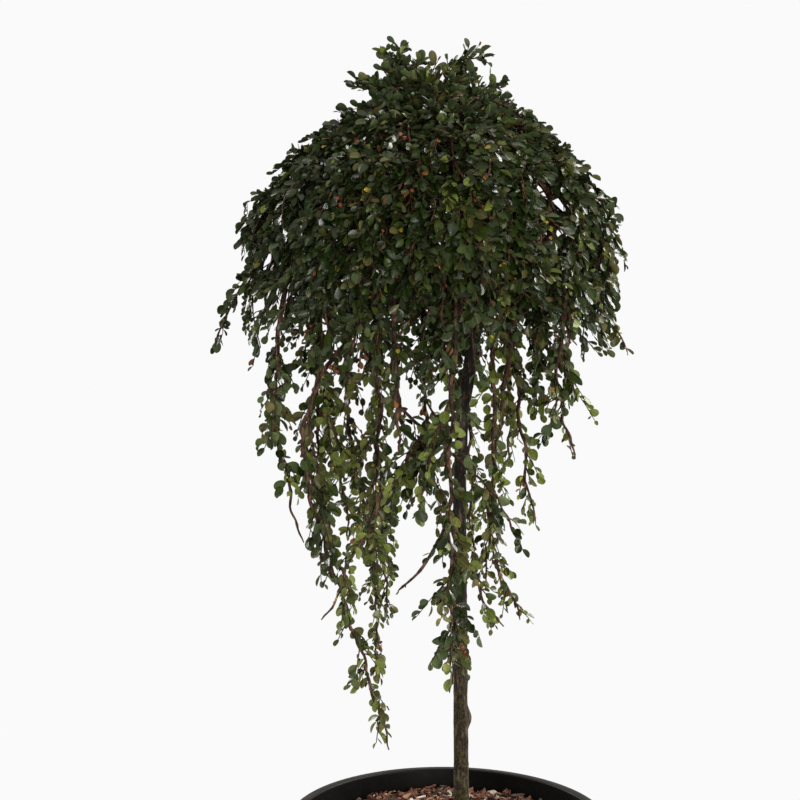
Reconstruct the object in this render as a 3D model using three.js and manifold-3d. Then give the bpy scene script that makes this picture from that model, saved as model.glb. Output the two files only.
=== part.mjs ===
// A weeping cotoneaster grafted on a straight stem, standing in a round black pot of bark-topped compost.
// The graft head carries arching boughs. Short ones bear the dense dome of the crown, which is a top and
// eight sectors round it. Longer ones pass under the dome, and leafy shoots hang from their ends.
// Millimetres, +Z up, +X to the right and +Y to the back; the origin is under the middle of the pot.
import * as THREE from "three";
import { mergeVertices } from "three/addons/utils/BufferGeometryUtils.js";
import Module from "manifold-3d";

const wasm = await Module();
wasm.setup();

const UP = new THREE.Vector3(0, 0, 1);
const TURN = 2 * Math.PI;
// Angle from one leaf to the next round a shoot, in radians.
const leafTurn = 2.4;

// Gap between two pieces that touch.
const clearance = 0.3;
// Faces thinner than this are merged into their neighbours where pieces are fused.
const sliver = 0.03;

// Pot, a 10 litre nursery container.
const pot = {
  height: 225,
  rimRadius: 140,
  mouthRadius: 133,
  footRadius: 106,
  wall: 2.4,
  floor: 3,
  rimBand: 14,
  drains: 8,
  drainRadius: 6,
  drainRing: 82,
  sides: 32,
};
const compost = { drop: 20, roughness: 4, rings: 4, flatRound: 26 };
const soilHeight = pot.height - compost.drop;

// Stem, from its cut at the compost to the top of the graft head.
const stem = {
  footX: 12,
  kinkHeight: 560,
  leanX: 21,
  leanHeight: 640,
  headX: 8,
  headHeight: 790,
  topHeight: 812,
  footRadius: 6.6,
  neckRadius: 4.8,
  headRadius: 12,
  headLength: 30,
  flare: 3.4,
  flareHeight: 16,
};
const knots = [
  { height: 311, azimuth: 5, radius: 4.6 },
  { height: 402, azimuth: 150, radius: 3.4 },
  { height: 468, azimuth: 290, radius: 3.2 },
];

// Crown dome: the surface that the outermost leaves reach, about a vertical axis.
const dome = { x: -15, radius: 173, wideHeight: 690, topHeight: 889, fullness: 2.8, flare: 0.04 };
const core = { depth: 21, thickness: 30, bottom: 694, top: 846, lump: 5, columns: 5, rows: 5 };
const sectorGap = 1.2;
const domeShoots = { each: 3, from: 842, to: 622, spread: 0.3, radius: 1.5 };
const domeLeaf = { length: 40, width: 26, spacing: 21, lift: 0.36 };
const fringeLeaf = { length: 29, width: 20, spacing: 13, lift: 0.5 };
const cap = { radius: 62, rise: 24, sides: 14, leaves: 26 };
const sprigs = { count: 5, reach: 40, height: 878, radius: 1.7, spikes: [[-38, -6, 889], [30, 4, 884]] };
const sprigLeaf = { length: 22, width: 14, spacing: 14, lift: 0.55 };
const hangingLeaf = { length: 28, width: 19, spacing: 16.5, lift: 0.5 };
const leafThickness = 0.08;
const leafRoot = 0.4;

// Gap that shows sky right through the crown, on the right above the middle.
const skyGap = { x: 92, z: 762, radius: 11, length: 330, slopeX: 0.128, slopeZ: 0.165 };

// Shoots that hang from the ends of the long boughs. Each runs from its shoulder to its tip through places
// given by azimuth about the dome's axis in degrees, reach from that axis and height. A fork leaves at a
// share of the way and runs through places of its own.
const hangingShoots = [
  {
    name: "left_outer",
    path: [[198, 133, 667], [198, 141, 598], [200, 118, 468]],
    fork: { at: 0.12, path: [[212, 150, 600], [214, 158, 560]] },
  },
  {
    name: "left_long",
    path: [[224, 90, 646], [214, 116, 600], [211, 124, 545], [228, 81, 364], [239, 68, 300]],
  },
  {
    name: "front_left",
    path: [[234, 55, 645], [237, 53, 585], [272, 45, 527], [302, 53, 453], [322, 74, 398]],
    fork: { at: 0.23, path: [[318, 72, 507], [327, 88, 466]] },
  },
  {
    name: "front_centre",
    path: [[281, 93, 655], [278, 91, 525], [280, 89, 364]],
    fork: { at: 0.56, path: [[263, 88, 452], [252, 90, 436]] },
  },
  { name: "front_short", path: [[255, 122, 655], [256, 116, 548]] },
  { name: "right_inner", path: [[337, 56, 655], [338, 58, 563], [335, 52, 433]] },
  { name: "right_long", path: [[2, 72, 650], [5, 59, 550], [5, 53, 468], [4, 80, 395]] },
  { name: "right_middle", path: [[28, 84, 650], [21, 94, 521], [19, 99, 477]] },
  { name: "right_front", path: [[343, 117, 660], [342, 108, 576]] },
  { name: "right_outer", path: [[0, 122, 658], [0, 117, 575], [0, 126, 537]] },
  { name: "right_back", path: [[48, 118, 655], [46, 110, 525]] },
  { name: "back_right", path: [[70, 110, 655], [66, 104, 430]] },
  { name: "back", path: [[92, 116, 655], [90, 106, 496]] },
  { name: "back_left", path: [[114, 118, 655], [113, 122, 540], [110, 115, 376]] },
  { name: "left_back_long", path: [[137, 106, 652], [133, 110, 561], [123, 95, 438], [122, 92, 325]] },
  {
    name: "left_middle",
    path: [[165, 103, 655], [163, 106, 570], [162, 98, 480]],
    fork: { at: 0.25, path: [[176, 84, 560], [184, 72, 470]] },
  },
  { name: "inner_left", path: [[165, 50, 655], [158, 50, 550], [170, 62, 462]] },
];
// The lowest shoot hangs from the stem itself.
const lowShoot = { height: 577, path: [[262, 62, 556], [245, 92, 512], [234, 120, 450], [230, 135, 414]] };
const longBough = {
  startRadius: 3.2,
  endRadius: 2.2,
  forkRadius: 1.4,
  tipRadius: 0.8,
  rise: 30,
  reachOut: 26,
  settle: 0.4,
};
const boughTiers = [
  { reach: 80, height: 765 },
  { reach: 113, height: 778 },
  { reach: Infinity, height: 791 },
];
const shortBough = { startRadius: 3.4, endRadius: 2.8, height: 802, entryHeight: 834, lift: 0.35, peg: 20 };

// Numbers between 0 and 1 that are the same on each run for the same seed.
function seeded(seed) {
  let state = seed >>> 0;
  return () => {
    state = (state + 0x6d2b79f5) >>> 0;
    let t = state;
    t = Math.imul(t ^ (t >>> 15), t | 1);
    t ^= t + Math.imul(t ^ (t >>> 7), t | 61);
    return ((t ^ (t >>> 14)) >>> 0) / 4294967296;
  };
}

const radians = THREE.MathUtils.degToRad;

function around(azimuth, reach, height, axisX = dome.x) {
  return new THREE.Vector3(
    axisX + reach * Math.cos(azimuth),
    reach * Math.sin(azimuth),
    height,
  );
}

function outward(azimuth) {
  return new THREE.Vector3(Math.cos(azimuth), Math.sin(azimuth), 0);
}

// Solids and meshes

function solidOf(geometry) {
  const bare = geometry.index ? geometry.toNonIndexed() : geometry.clone();
  bare.deleteAttribute("normal");
  bare.deleteAttribute("uv");
  const merged = mergeVertices(bare, 1e-3);
  return new wasm.Manifold(
    new wasm.Mesh({
      numProp: 3,
      vertProperties: new Float32Array(merged.attributes.position.array),
      triVerts: new Uint32Array(merged.index.array),
    }),
  );
}

function geometryOf(solid) {
  const { vertProperties, triVerts, numProp, numVert } = solid.getMesh();
  const places = new Float32Array(numVert * 3);
  for (let i = 0; i < numVert; i++) {
    places.set(vertProperties.subarray(i * numProp, i * numProp + 3), i * 3);
  }
  const geometry = new THREE.BufferGeometry();
  geometry.setAttribute("position", new THREE.BufferAttribute(places, 3));
  geometry.setIndex(new THREE.BufferAttribute(new Uint32Array(triVerts), 1));
  geometry.computeVertexNormals();
  return geometry;
}

// The largest of the bodies that a union left, without the scraps and the slivers. It is rounded to the
// numbers of a mesh before it is taken apart, because a body that hangs on by a hair comes off there.
function wholeOf(solids) {
  const fused = wasm.Manifold.union(solids).simplify(sliver);
  const bodies = solidOf(geometryOf(fused)).decompose();
  return bodies.reduce((best, body) => (body.volume() > best.volume() ? body : best));
}

// A closed surface from rings of points, with a fan over each end.
function skinOver(rings) {
  const sides = rings[0].length;
  const places = rings.flat().flatMap((p) => [p.x, p.y, p.z]);
  const faces = [];
  for (let i = 0; i + 1 < rings.length; i++) {
    for (let j = 0; j < sides; j++) {
      const [a, b] = [i * sides + j, i * sides + ((j + 1) % sides)];
      faces.push(a, b, b + sides, a, b + sides, a + sides);
    }
  }
  const last = (rings.length - 1) * sides;
  for (let j = 1; j + 1 < sides; j++) {
    faces.push(0, j + 1, j, last, last + j, last + j + 1);
  }
  const geometry = new THREE.BufferGeometry();
  geometry.setAttribute("position", new THREE.Float32BufferAttribute(places, 3));
  geometry.setIndex(faces);
  return geometry;
}

// A limb along a curve, whose radius is worked out from the share of the way along.
function limb(curve, radiusAt, sides, steps) {
  const { normals, binormals } = curve.computeFrenetFrames(steps, false);
  const rings = [];
  for (let i = 0; i <= steps; i++) {
    const centre = curve.getPointAt(i / steps);
    const radius = radiusAt(i / steps);
    const ring = [];
    for (let j = 0; j < sides; j++) {
      const angle = (j / sides) * TURN;
      ring.push(
        centre
          .clone()
          .addScaledVector(normals[i], radius * Math.cos(angle))
          .addScaledVector(binormals[i], radius * Math.sin(angle)),
      );
    }
    rings.push(ring);
  }
  return solidOf(skinOver(rings));
}

const tapering = (from, to) => (share) => from + (to - from) * share;

function mesh(name, solid, material) {
  const made = new THREE.Mesh(geometryOf(solid), material);
  made.name = name;
  return made;
}

const finish = (color, roughness) => new THREE.MeshStandardMaterial({ color, roughness, metalness: 0 });
const potPlastic = finish(0x141414, 0.5);
const compostBark = finish(0x5a2f1e, 0.95);
const stemBark = finish(0x3a342c, 0.85);
const shootBark = finish(0x4a2a22, 0.75);
const leafGreen = finish(0x1f3a1c, 0.45);

// Pot and compost

const potRadiusAt = (height) =>
  pot.footRadius + ((pot.mouthRadius - pot.footRadius) * height) / pot.height;

function potSolid() {
  const bandFoot = pot.height - pot.rimBand;
  const profile = [
    [0, 0],
    [pot.footRadius - 2, 0],
    [pot.footRadius, 2],
    [potRadiusAt(bandFoot), bandFoot],
    [pot.rimRadius - 1.5, bandFoot],
    [pot.rimRadius, bandFoot + 2],
    [pot.rimRadius, pot.height - 2],
    [pot.rimRadius - 1.5, pot.height],
    [pot.mouthRadius - pot.wall + 1, pot.height],
    [pot.mouthRadius - pot.wall, pot.height - 2],
    [potRadiusAt(pot.floor) - pot.wall, pot.floor],
    [0, pot.floor],
  ].map(([radius, height]) => new THREE.Vector2(radius, height));
  const shell = solidOf(new THREE.LatheGeometry(profile, pot.sides).rotateX(Math.PI / 2));
  const drains = [];
  for (let i = 0; i < pot.drains; i++) {
    const centre = around(((i + 0.5) / pot.drains) * TURN, pot.drainRing, pot.floor / 2, 0);
    const drill = new THREE.CylinderGeometry(pot.drainRadius, pot.drainRadius, 4 * pot.floor, 8);
    drains.push(solidOf(drill.rotateX(Math.PI / 2).translate(centre.x, centre.y, centre.z)));
  }
  return shell.subtract(wasm.Manifold.union(drains));
}

// The fill of the pot, with an uneven top that is level round the stem's foot.
function compostSolid() {
  const random = seeded(11);
  const foot = pot.floor + clearance;
  const shoulder = soilHeight - compost.roughness;
  const innerRadius = (height) => potRadiusAt(height) - pot.wall - 2 * clearance;
  const ringAt = (radiusAt, heightAt) => {
    const ring = [];
    for (let j = 0; j < pot.sides; j++) {
      const angle = (j / pot.sides) * TURN;
      ring.push(around(angle, radiusAt(angle), heightAt(angle), 0));
    }
    return ring;
  };
  const rings = [
    ringAt(() => innerRadius(foot), () => foot),
    ringAt(() => innerRadius(shoulder), () => shoulder),
  ];
  for (let i = compost.rings; i >= 1; i--) {
    const reach = (innerRadius(soilHeight) * i) / (compost.rings + 0.5);
    const uneven = reach > stem.footX + compost.flatRound ? compost.roughness : 0;
    rings.push(ringAt(() => reach, () => soilHeight + uneven * (2 * random() - 1)));
  }
  return solidOf(skinOver(rings));
}

// Stem

const stemCurve = new THREE.CatmullRomCurve3(
  [
    [stem.footX, soilHeight + clearance],
    [stem.footX - 1, 380],
    [stem.footX, stem.kinkHeight],
    [stem.leanX, stem.leanHeight],
    [stem.leanX - 2, 715],
    [stem.headX, stem.headHeight],
    [stem.headX - 1, stem.topHeight],
  ].map(([x, z]) => new THREE.Vector3(x, 0, z)),
  false,
  "centripetal",
);

const bell = (x) => Math.exp(-x * x);

function stemRadiusAt(share) {
  const height = stemCurve.getPointAt(share).z;
  const above = height - soilHeight;
  const risen = above / (stem.headHeight - soilHeight);
  const taper = stem.footRadius + (stem.neckRadius - stem.footRadius) * risen;
  const flare = stem.flare * Math.exp(-above / stem.flareHeight);
  const swelling = (stem.headRadius - stem.neckRadius) * bell((height - stem.headHeight) / stem.headLength);
  return taper + flare + swelling;
}

const stemWith = (room) => limb(stemCurve, (share) => stemRadiusAt(share) + room, 10, 25);
const stemReach = stemWith(clearance);

function stemSolid() {
  const bumps = knots.map(({ height, azimuth, radius }) => {
    const reach = stem.footRadius - 0.35 * radius;
    const centre = around(radians(azimuth), reach, height, stem.footX - 0.5);
    const bump = new THREE.IcosahedronGeometry(radius, 0).scale(1, 1, 1.7);
    return solidOf(bump.translate(centre.x, centre.y, centre.z));
  });
  return wholeOf([stemWith(0), ...bumps]);
}

// Where a bough starts: inside the head, from which the stem's own reach is cut afterwards.
function socket(azimuth, height) {
  return around(azimuth, 0.55 * stem.headRadius, height, stem.headX);
}

// Dome

function domeRadiusAt(height) {
  if (height < dome.wideHeight) {
    return dome.radius + dome.flare * (dome.wideHeight - height);
  }
  const share = Math.min(1, (height - dome.wideHeight) / (dome.topHeight - dome.wideHeight));
  return dome.radius * (1 - share ** dome.fullness);
}

// Uneven depth of the foliage, so that neighbouring shoots stand out more or less.
const lumpAt = (azimuth, height) =>
  core.lump * Math.sin(5 * azimuth + height / 29) * Math.cos(2 * azimuth - height / 41);

function domePoint(azimuth, height, depth) {
  return around(azimuth, domeRadiusAt(height) - depth - lumpAt(azimuth, height), height);
}

// The dark inside of one sector of the dome: a patch of shell between two azimuths.
function sectorCore(fromAzimuth, toAzimuth) {
  const { columns, rows } = core;
  const rings = [];
  for (let i = 0; i <= columns; i++) {
    const azimuth = fromAzimuth + ((toAzimuth - fromAzimuth) * i) / columns;
    const side = sectorGap / domeRadiusAt(core.bottom);
    const shifted = azimuth + (i === 0 ? side : i === columns ? -side : 0);
    const ring = [];
    for (let j = 0; j <= rows; j++) {
      ring.push(domePoint(shifted, core.bottom + ((core.top - core.bottom) * j) / rows, core.depth));
    }
    for (let j = rows; j >= 0; j--) {
      const height = core.bottom + ((core.top - core.bottom) * j) / rows;
      ring.push(domePoint(shifted, height, core.depth + core.thickness));
    }
    rings.push(ring);
  }
  const made = solidOf(skinOver(rings));
  return made.volume() < 0 ? solidOf(skinOver(rings.reverse())) : made;
}

// A shoot that runs down the dome's surface and droops below its edge.
class DomeShoot extends THREE.Curve {
  constructor(azimuth, turn, from, to) {
    super();
    Object.assign(this, { azimuth, turn, from, to });
  }
  getPoint(share) {
    const height = this.from + (this.to - this.from) * share;
    return domePoint(this.azimuth + this.turn * share, height, core.depth + 1);
  }
}

// Leaves

// A leaf of six faces, flat above and keeled below. Its root is behind the place given, so that it sinks
// into its twig.
function leaf({ place, direction, face, length, width }, margin = 0) {
  const along = direction.clone().normalize();
  const across = new THREE.Vector3().crossVectors(along, face).normalize();
  const under = new THREE.Vector3().crossVectors(along, across).normalize();
  const widest = place.clone().addScaledVector(along, 0.56 * length).addScaledVector(under, -margin);
  const points = [
    place.clone().addScaledVector(along, -leafRoot),
    widest.clone().addScaledVector(across, 0.5 * width + 2 * margin),
    widest.clone().addScaledVector(under, leafThickness * length + 3 * margin),
    widest.clone().addScaledVector(across, -0.5 * width - 2 * margin),
    place.clone().addScaledVector(along, length + margin),
  ];
  const geometry = new THREE.BufferGeometry();
  geometry.setAttribute(
    "position",
    new THREE.Float32BufferAttribute(points.flatMap((p) => [p.x, p.y, p.z]), 3),
  );
  geometry.setIndex([0, 2, 1, 0, 3, 2, 0, 1, 3, 4, 1, 2, 4, 2, 3, 4, 3, 1]);
  return solidOf(geometry);
}

// Leaves stand alternately to the two sides of a shoot, turned a little towards the open side.
function leavesAlong(curve, size, seed, openSideAt, start) {
  const random = seeded(seed);
  const count = Math.max(1, Math.floor(((1 - start) * curve.getLength()) / size.spacing));
  const made = [];
  for (let i = 0; i <= count; i++) {
    const uneven = 0.3 * (random() - 0.5);
    const share = THREE.MathUtils.clamp(start + ((1 - start) * (i + uneven)) / count, 0.02, 0.995);
    const place = curve.getPointAt(share);
    const along = curve.getTangentAt(share);
    const open = openSideAt(place, i);
    const side = new THREE.Vector3().crossVectors(along, open).normalize();
    const swing = (i % 2 ? 1 : -1) * (0.55 + 0.5 * random());
    const direction = along
      .clone()
      .multiplyScalar(0.45 + 0.35 * random())
      .addScaledVector(side, swing)
      .addScaledVector(open, size.lift + 0.4 * random());
    const face = open.clone().addScaledVector(UP, 0.4).addScaledVector(side, 0.5 * (random() - 0.5));
    const grown = 0.85 + 0.3 * random();
    made.push({ place, direction, face, length: size.length * grown, width: size.width * grown });
  }
  return made;
}

// Masses: the wood of each is made first, and then leaves that clear everything else.

const wood = [];
const masses = [];

function addMass(name, solids, leaves) {
  masses.push({ name, solids, leaves, accepted: [] });
}

function boxesMeet(a, b) {
  return [0, 1, 2].every((k) => a.min[k] <= b.max[k] && b.min[k] <= a.max[k]);
}

const withBox = (solid) => ({ solid, box: solid.boundingBox() });

// A bough with its foot cut to the stem, and the reach that foliage keeps clear of.
function addBough(name, curve, { startRadius, endRadius }, steps) {
  const boughWith = (room) => limb(curve, tapering(startRadius + room, endRadius + room), 4, steps);
  const bough = boughWith(0).subtract(stemReach);
  wood.push({ name, solid: wholeOf([bough]), reach: boughWith(2 * clearance) });
}

function growLeaves() {
  const obstacles = wood.map(({ solid }) => ({ owner: null, ...withBox(solid) }));
  obstacles.push({ owner: null, ...withBox(stemReach) });
  obstacles.push({ owner: null, ...withBox(skyGapSolid) });
  for (const mass of masses) {
    mass.solids.forEach((solid) => obstacles.push({ owner: mass.name, ...withBox(solid) }));
  }
  for (const mass of masses) {
    for (const shape of mass.leaves) {
      const reach = withBox(leaf(shape, 2 * clearance));
      const blocked = obstacles.some(
        (other) =>
          other.owner !== mass.name &&
          boxesMeet(other.box, reach.box) &&
          !other.solid.intersect(reach.solid).isEmpty(),
      );
      if (blocked) continue;
      mass.accepted.push(leaf(shape));
      obstacles.push({ owner: mass.name, ...reach });
    }
  }
}

const skyGapSolid = (() => {
  const sight = new THREE.Vector3(skyGap.slopeX, 1, skyGap.slopeZ).normalize();
  const tube = new THREE.CylinderGeometry(skyGap.radius, skyGap.radius, skyGap.length, 8);
  const turn = new THREE.Quaternion().setFromUnitVectors(new THREE.Vector3(0, 1, 0), sight);
  return solidOf(tube.applyQuaternion(turn).translate(skyGap.x, 0, skyGap.z));
})();

// Long boughs and the shoots that hang from them

function curveTo(start, startControl, endControl, end) {
  return new THREE.CubicBezierCurve3(start, startControl, endControl, end);
}

const placeAt = ([azimuth, reach, height]) => around(radians(azimuth), reach, height);

function pathThrough(places) {
  return new THREE.CatmullRomCurve3(places, false, "centripetal");
}

// Sockets of one tier are spread evenly round the head, turned to suit the boughs that they bear.
function shareSockets(members, height) {
  const azimuthOf = (shoot) => radians(shoot.path[0][0]);
  members.sort((a, b) => azimuthOf(a) - azimuthOf(b));
  const step = TURN / members.length;
  const turns = members.map((shoot, i) => azimuthOf(shoot) - i * step);
  const first = turns.reduce((sum, turn) => sum + turn, 0) / members.length;
  members.forEach((shoot, i) => {
    shoot.socket = socket(first + i * step, height);
  });
}

function growBoughFor(shoot, shoulder, heading) {
  const start = shoot.socket;
  const away = start.clone().setX(start.x - stem.headX).setZ(0).normalize();
  const arch = curveTo(
    start,
    start.clone().addScaledVector(away, longBough.reachOut).addScaledVector(UP, longBough.rise),
    shoulder.clone().addScaledVector(heading, -longBough.settle * start.distanceTo(shoulder)),
    shoulder,
  );
  addBough("bough_" + shoot.name, arch, longBough, 6 + Math.round(shoot.path[0][1] / 40));
}

function growHangingShoots() {
  let lowest = 0;
  for (const tier of boughTiers) {
    const within = ({ path }) => path[0][1] >= lowest && path[0][1] < tier.reach;
    shareSockets(hangingShoots.filter(within), tier.height);
    lowest = tier.reach;
  }
  hangingShoots.forEach((shoot, index) => {
    const places = shoot.path.map(placeAt);
    const heading = pathThrough(places).getTangentAt(0);
    growBoughFor(shoot, places[0].clone(), heading);
    places[0].addScaledVector(heading, clearance);
    const hang = pathThrough(places);
    const curves = [hang];
    const solids = [shootAlong(hang, longBough.endRadius - 0.2)];
    if (shoot.fork) {
      const side = pathThrough([hang.getPointAt(shoot.fork.at), ...shoot.fork.path.map(placeAt)]);
      curves.push(side);
      solids.push(shootAlong(side, longBough.forkRadius));
    }
    const leaves = curves.flatMap((curve, k) =>
      leavesAlong(curve, hangingLeaf, 100 + 7 * index + k, (place, i) => outward(i * leafTurn + index), 0.08),
    );
    addMass("shoots_" + shoot.name, solids, leaves);
  });
}

// A three-sided shoot that thins to its tip.
function shootAlong(curve, radius) {
  const steps = Math.max(4, Math.round(curve.getLength() / 28));
  return limb(curve, tapering(radius, longBough.tipRadius), 3, steps);
}

// Short boughs and the dome that they carry

const sectorNames = [
  "right_back",
  "back_right",
  "back_left",
  "left_back",
  "left_front",
  "front_left",
  "front_right",
  "right_front",
];

// The bough that carries a sector, and the peg by which the sector's core stands off its tip.
function growSectorBough(name, azimuth) {
  const { height, entryHeight, lift } = shortBough;
  const inner = domeRadiusAt(entryHeight) - core.depth - core.thickness - lumpAt(azimuth, entryHeight);
  const entry = around(azimuth, inner - 8, entryHeight);
  const start = socket(azimuth, height);
  const arrive = outward(azimuth).addScaledVector(UP, lift).normalize();
  const rise = curveTo(
    start,
    start.clone().addScaledVector(outward(azimuth), 8).addScaledVector(UP, 16),
    entry.clone().addScaledVector(arrive, -10),
    entry,
  );
  addBough("bough_dome_" + name, rise, shortBough, 5);
  const peg = new THREE.LineCurve3(
    entry.clone().addScaledVector(arrive, 1.5 * clearance),
    entry.clone().addScaledVector(arrive, shortBough.peg),
  );
  return limb(peg, () => shortBough.endRadius - 0.2, 4, 1);
}

function growSectors() {
  const limbReach = wood.map(({ reach }) => withBox(reach));
  const offAxis = (place) => outward(Math.atan2(place.y, place.x - dome.x)).addScaledVector(UP, 0.35);
  sectorNames.forEach((name, i) => {
    const width = TURN / sectorNames.length;
    const from = i * width;
    let inside = sectorCore(from, from + width).subtract(skyGapSolid);
    for (const { solid, box } of limbReach) {
      if (boxesMeet(box, inside.boundingBox())) inside = inside.subtract(solid);
    }
    const solids = [inside, growSectorBough(name, from + width / 2)];
    const leaves = [];
    const random = seeded(40 + i);
    for (let k = 0; k < domeShoots.each; k++) {
      const uneven = domeShoots.spread * (random() - 0.5);
      const azimuth = from + ((k + 0.5 + uneven) / domeShoots.each) * width;
      const turn = 0.12 * (random() - 0.5);
      const end = domeShoots.to + 34 * (random() - 0.4);
      const edge = core.bottom + 12;
      const onCore = new DomeShoot(azimuth, turn, domeShoots.from, edge);
      const below = new DomeShoot(azimuth + turn, 0, edge, end);
      const anySide = (place, j) => outward(j * leafTurn + k);
      solids.push(limb(below, tapering(domeShoots.radius, longBough.tipRadius), 3, 3));
      leaves.push(...leavesAlong(onCore, domeLeaf, 500 + 10 * i + k, offAxis, 0));
      leaves.push(...leavesAlong(below, fringeLeaf, 600 + 10 * i + k, anySide, 0.2));
    }
    addMass("crown_" + name, solids, leaves);
  });
}

// The dark inside of the crown's top, rounded above and flat below.
function capCore() {
  const foot = core.top + sectorGap;
  const rings = [];
  for (const share of [0, 0.3, 0.6, 0.85, 0.97]) {
    const height = foot + cap.rise * share;
    const ring = [];
    for (let j = 0; j < cap.sides; j++) {
      const azimuth = (j / cap.sides) * TURN;
      const reach = cap.radius * Math.sqrt(1 - share ** 2) - 0.6 * lumpAt(azimuth, height);
      ring.push(around(azimuth, reach, height));
    }
    rings.push(ring);
  }
  return solidOf(skinOver(rings));
}

// Leaves over the cap, at equal turns and on equal areas.
function capLeaves() {
  const random = seeded(71);
  const made = [];
  for (let i = 0; i < cap.leaves; i++) {
    const spread = Math.sqrt((i + 0.6) / cap.leaves);
    const azimuth = i * leafTurn;
    const height = core.top + sectorGap + cap.rise * Math.sqrt(1 - Math.min(0.96, spread ** 2));
    const face = outward(azimuth).multiplyScalar(0.35 + spread).addScaledVector(UP, 1.3 - spread).normalize();
    const direction = outward(azimuth + 1.2 * (random() - 0.5)).addScaledVector(face, 0.5 + 0.5 * random());
    const place = around(azimuth, cap.radius * spread - 3, height - 2);
    const grown = 0.7 + 0.2 * random();
    made.push({ place, direction, face, length: domeLeaf.length * grown, width: domeLeaf.width * grown });
  }
  return made;
}

function growTop() {
  const random = seeded(77);
  const bottom = new THREE.Vector3(stem.headX - 1, 0, stem.topHeight + clearance);
  const crownTop = new THREE.Vector3(dome.x + 6, 0, core.top + 0.8 * cap.rise);
  const leader = curveTo(
    bottom,
    bottom.clone().addScaledVector(UP, 18),
    crownTop.clone().addScaledVector(UP, -20),
    crownTop,
  );
  const solids = [limb(leader, tapering(4, 2), 5, 4), capCore()];
  const leaves = capLeaves();
  const tips = sprigs.spikes.map(([x, y, z]) => new THREE.Vector3(x, y, z));
  for (let k = 0; k < sprigs.count; k++) {
    const azimuth = ((k + 0.5 * random()) / sprigs.count) * TURN;
    tips.push(around(azimuth, sprigs.reach * (0.7 + 0.6 * random()), sprigs.height + 6 * random()));
  }
  tips.forEach((tip, k) => {
    const begin = crownTop.clone().lerp(tip, 0.35).setZ(core.top + 0.6 * cap.rise);
    const arc = curveTo(
      begin,
      begin.clone().addScaledVector(UP, 14),
      tip.clone().lerp(begin, 0.35).addScaledVector(UP, 7),
      tip,
    );
    solids.push(limb(arc, tapering(sprigs.radius, 0.9), 3, 4));
    leaves.push(...leavesAlong(arc, sprigLeaf, 900 + k, () => UP.clone(), 0.3));
  });
  addMass("crown_top", solids, leaves);
}

function growLowShoot() {
  const start = new THREE.Vector3(stem.footX, 0, lowShoot.height);
  const arc = pathThrough([start, ...lowShoot.path.map(placeAt)]);
  const shoot = shootAlong(arc, longBough.endRadius).subtract(stemReach);
  const leaves = leavesAlong(arc, hangingLeaf, 90, (place, i) => outward(i * leafTurn), 0.2);
  addMass("shoots_low", [shoot], leaves);
}

growHangingShoots();
growLowShoot();
growSectors();
growTop();
growLeaves();

const plant = new THREE.Group();
plant.add(mesh("pot", potSolid(), potPlastic));
plant.add(mesh("compost", compostSolid(), compostBark));
plant.add(mesh("stem", stemSolid(), stemBark));
for (const { name, solid } of wood) {
  plant.add(mesh(name, solid, shootBark));
}
for (const { name, solids, accepted } of masses) {
  plant.add(mesh(name, wholeOf([...solids, ...accepted]), leafGreen));
}

export default plant;
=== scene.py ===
"""Looks of a potted weeping cotoneaster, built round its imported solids.

The wood repeats the source's limbs and carries them on to fine twigs. Leaves stand along the twigs by the
same rule as in the source. Lengths are in millimetres until a mesh is made; +Z is up and +Y is the back.
"""

import math

import bpy
import numpy as np
from mathutils import Matrix, Vector, noise
from numpy.random import default_rng


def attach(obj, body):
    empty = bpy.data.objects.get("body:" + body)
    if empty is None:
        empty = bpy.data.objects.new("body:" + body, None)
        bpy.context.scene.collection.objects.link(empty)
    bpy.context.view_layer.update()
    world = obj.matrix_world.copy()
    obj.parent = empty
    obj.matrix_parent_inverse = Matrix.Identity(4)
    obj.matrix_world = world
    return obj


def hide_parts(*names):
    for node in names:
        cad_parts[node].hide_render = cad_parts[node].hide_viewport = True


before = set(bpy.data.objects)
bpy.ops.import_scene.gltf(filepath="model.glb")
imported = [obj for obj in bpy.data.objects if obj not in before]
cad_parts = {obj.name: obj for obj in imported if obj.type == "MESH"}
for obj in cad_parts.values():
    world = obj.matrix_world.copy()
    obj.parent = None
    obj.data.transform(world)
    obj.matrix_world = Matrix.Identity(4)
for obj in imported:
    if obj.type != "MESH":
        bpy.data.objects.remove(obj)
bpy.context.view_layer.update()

MM = 0.001
TURN = 2 * math.pi
UP = np.array([0.0, 0.0, 1.0])
LEAF_TURN = 2.4

# Pot and compost, as in the source.
POT_HEIGHT = 225
RIM_RADIUS = 140
MOUTH_RADIUS = 133
FOOT_RADIUS = 106
WALL = 2.4
FLOOR = 3
RIM_BAND = 14
DRAINS = 8
DRAIN_RADIUS = 6
DRAIN_RING = 82
SOIL_HEIGHT = 205
BED_RADIUS = 128

# Stem, as in the source. A knot is its height, its azimuth in degrees and its radius.
STEM_PLACES = [(12, 205.3), (11, 380), (12, 560), (21, 640), (19, 715), (8, 790), (7, 812)]
STEM_FOOT_RADIUS = 6.6
STEM_NECK_RADIUS = 4.8
STEM_HEAD_RADIUS = 12
STEM_HEAD_LENGTH = 30
STEM_FLARE = 3.4
STEM_FLARE_HEIGHT = 16
HEAD_X = 8
HEAD_HEIGHT = 790
KNOTS = [(311, 5, 4.6), (402, 150, 3.4), (468, 290, 3.2)]

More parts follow.
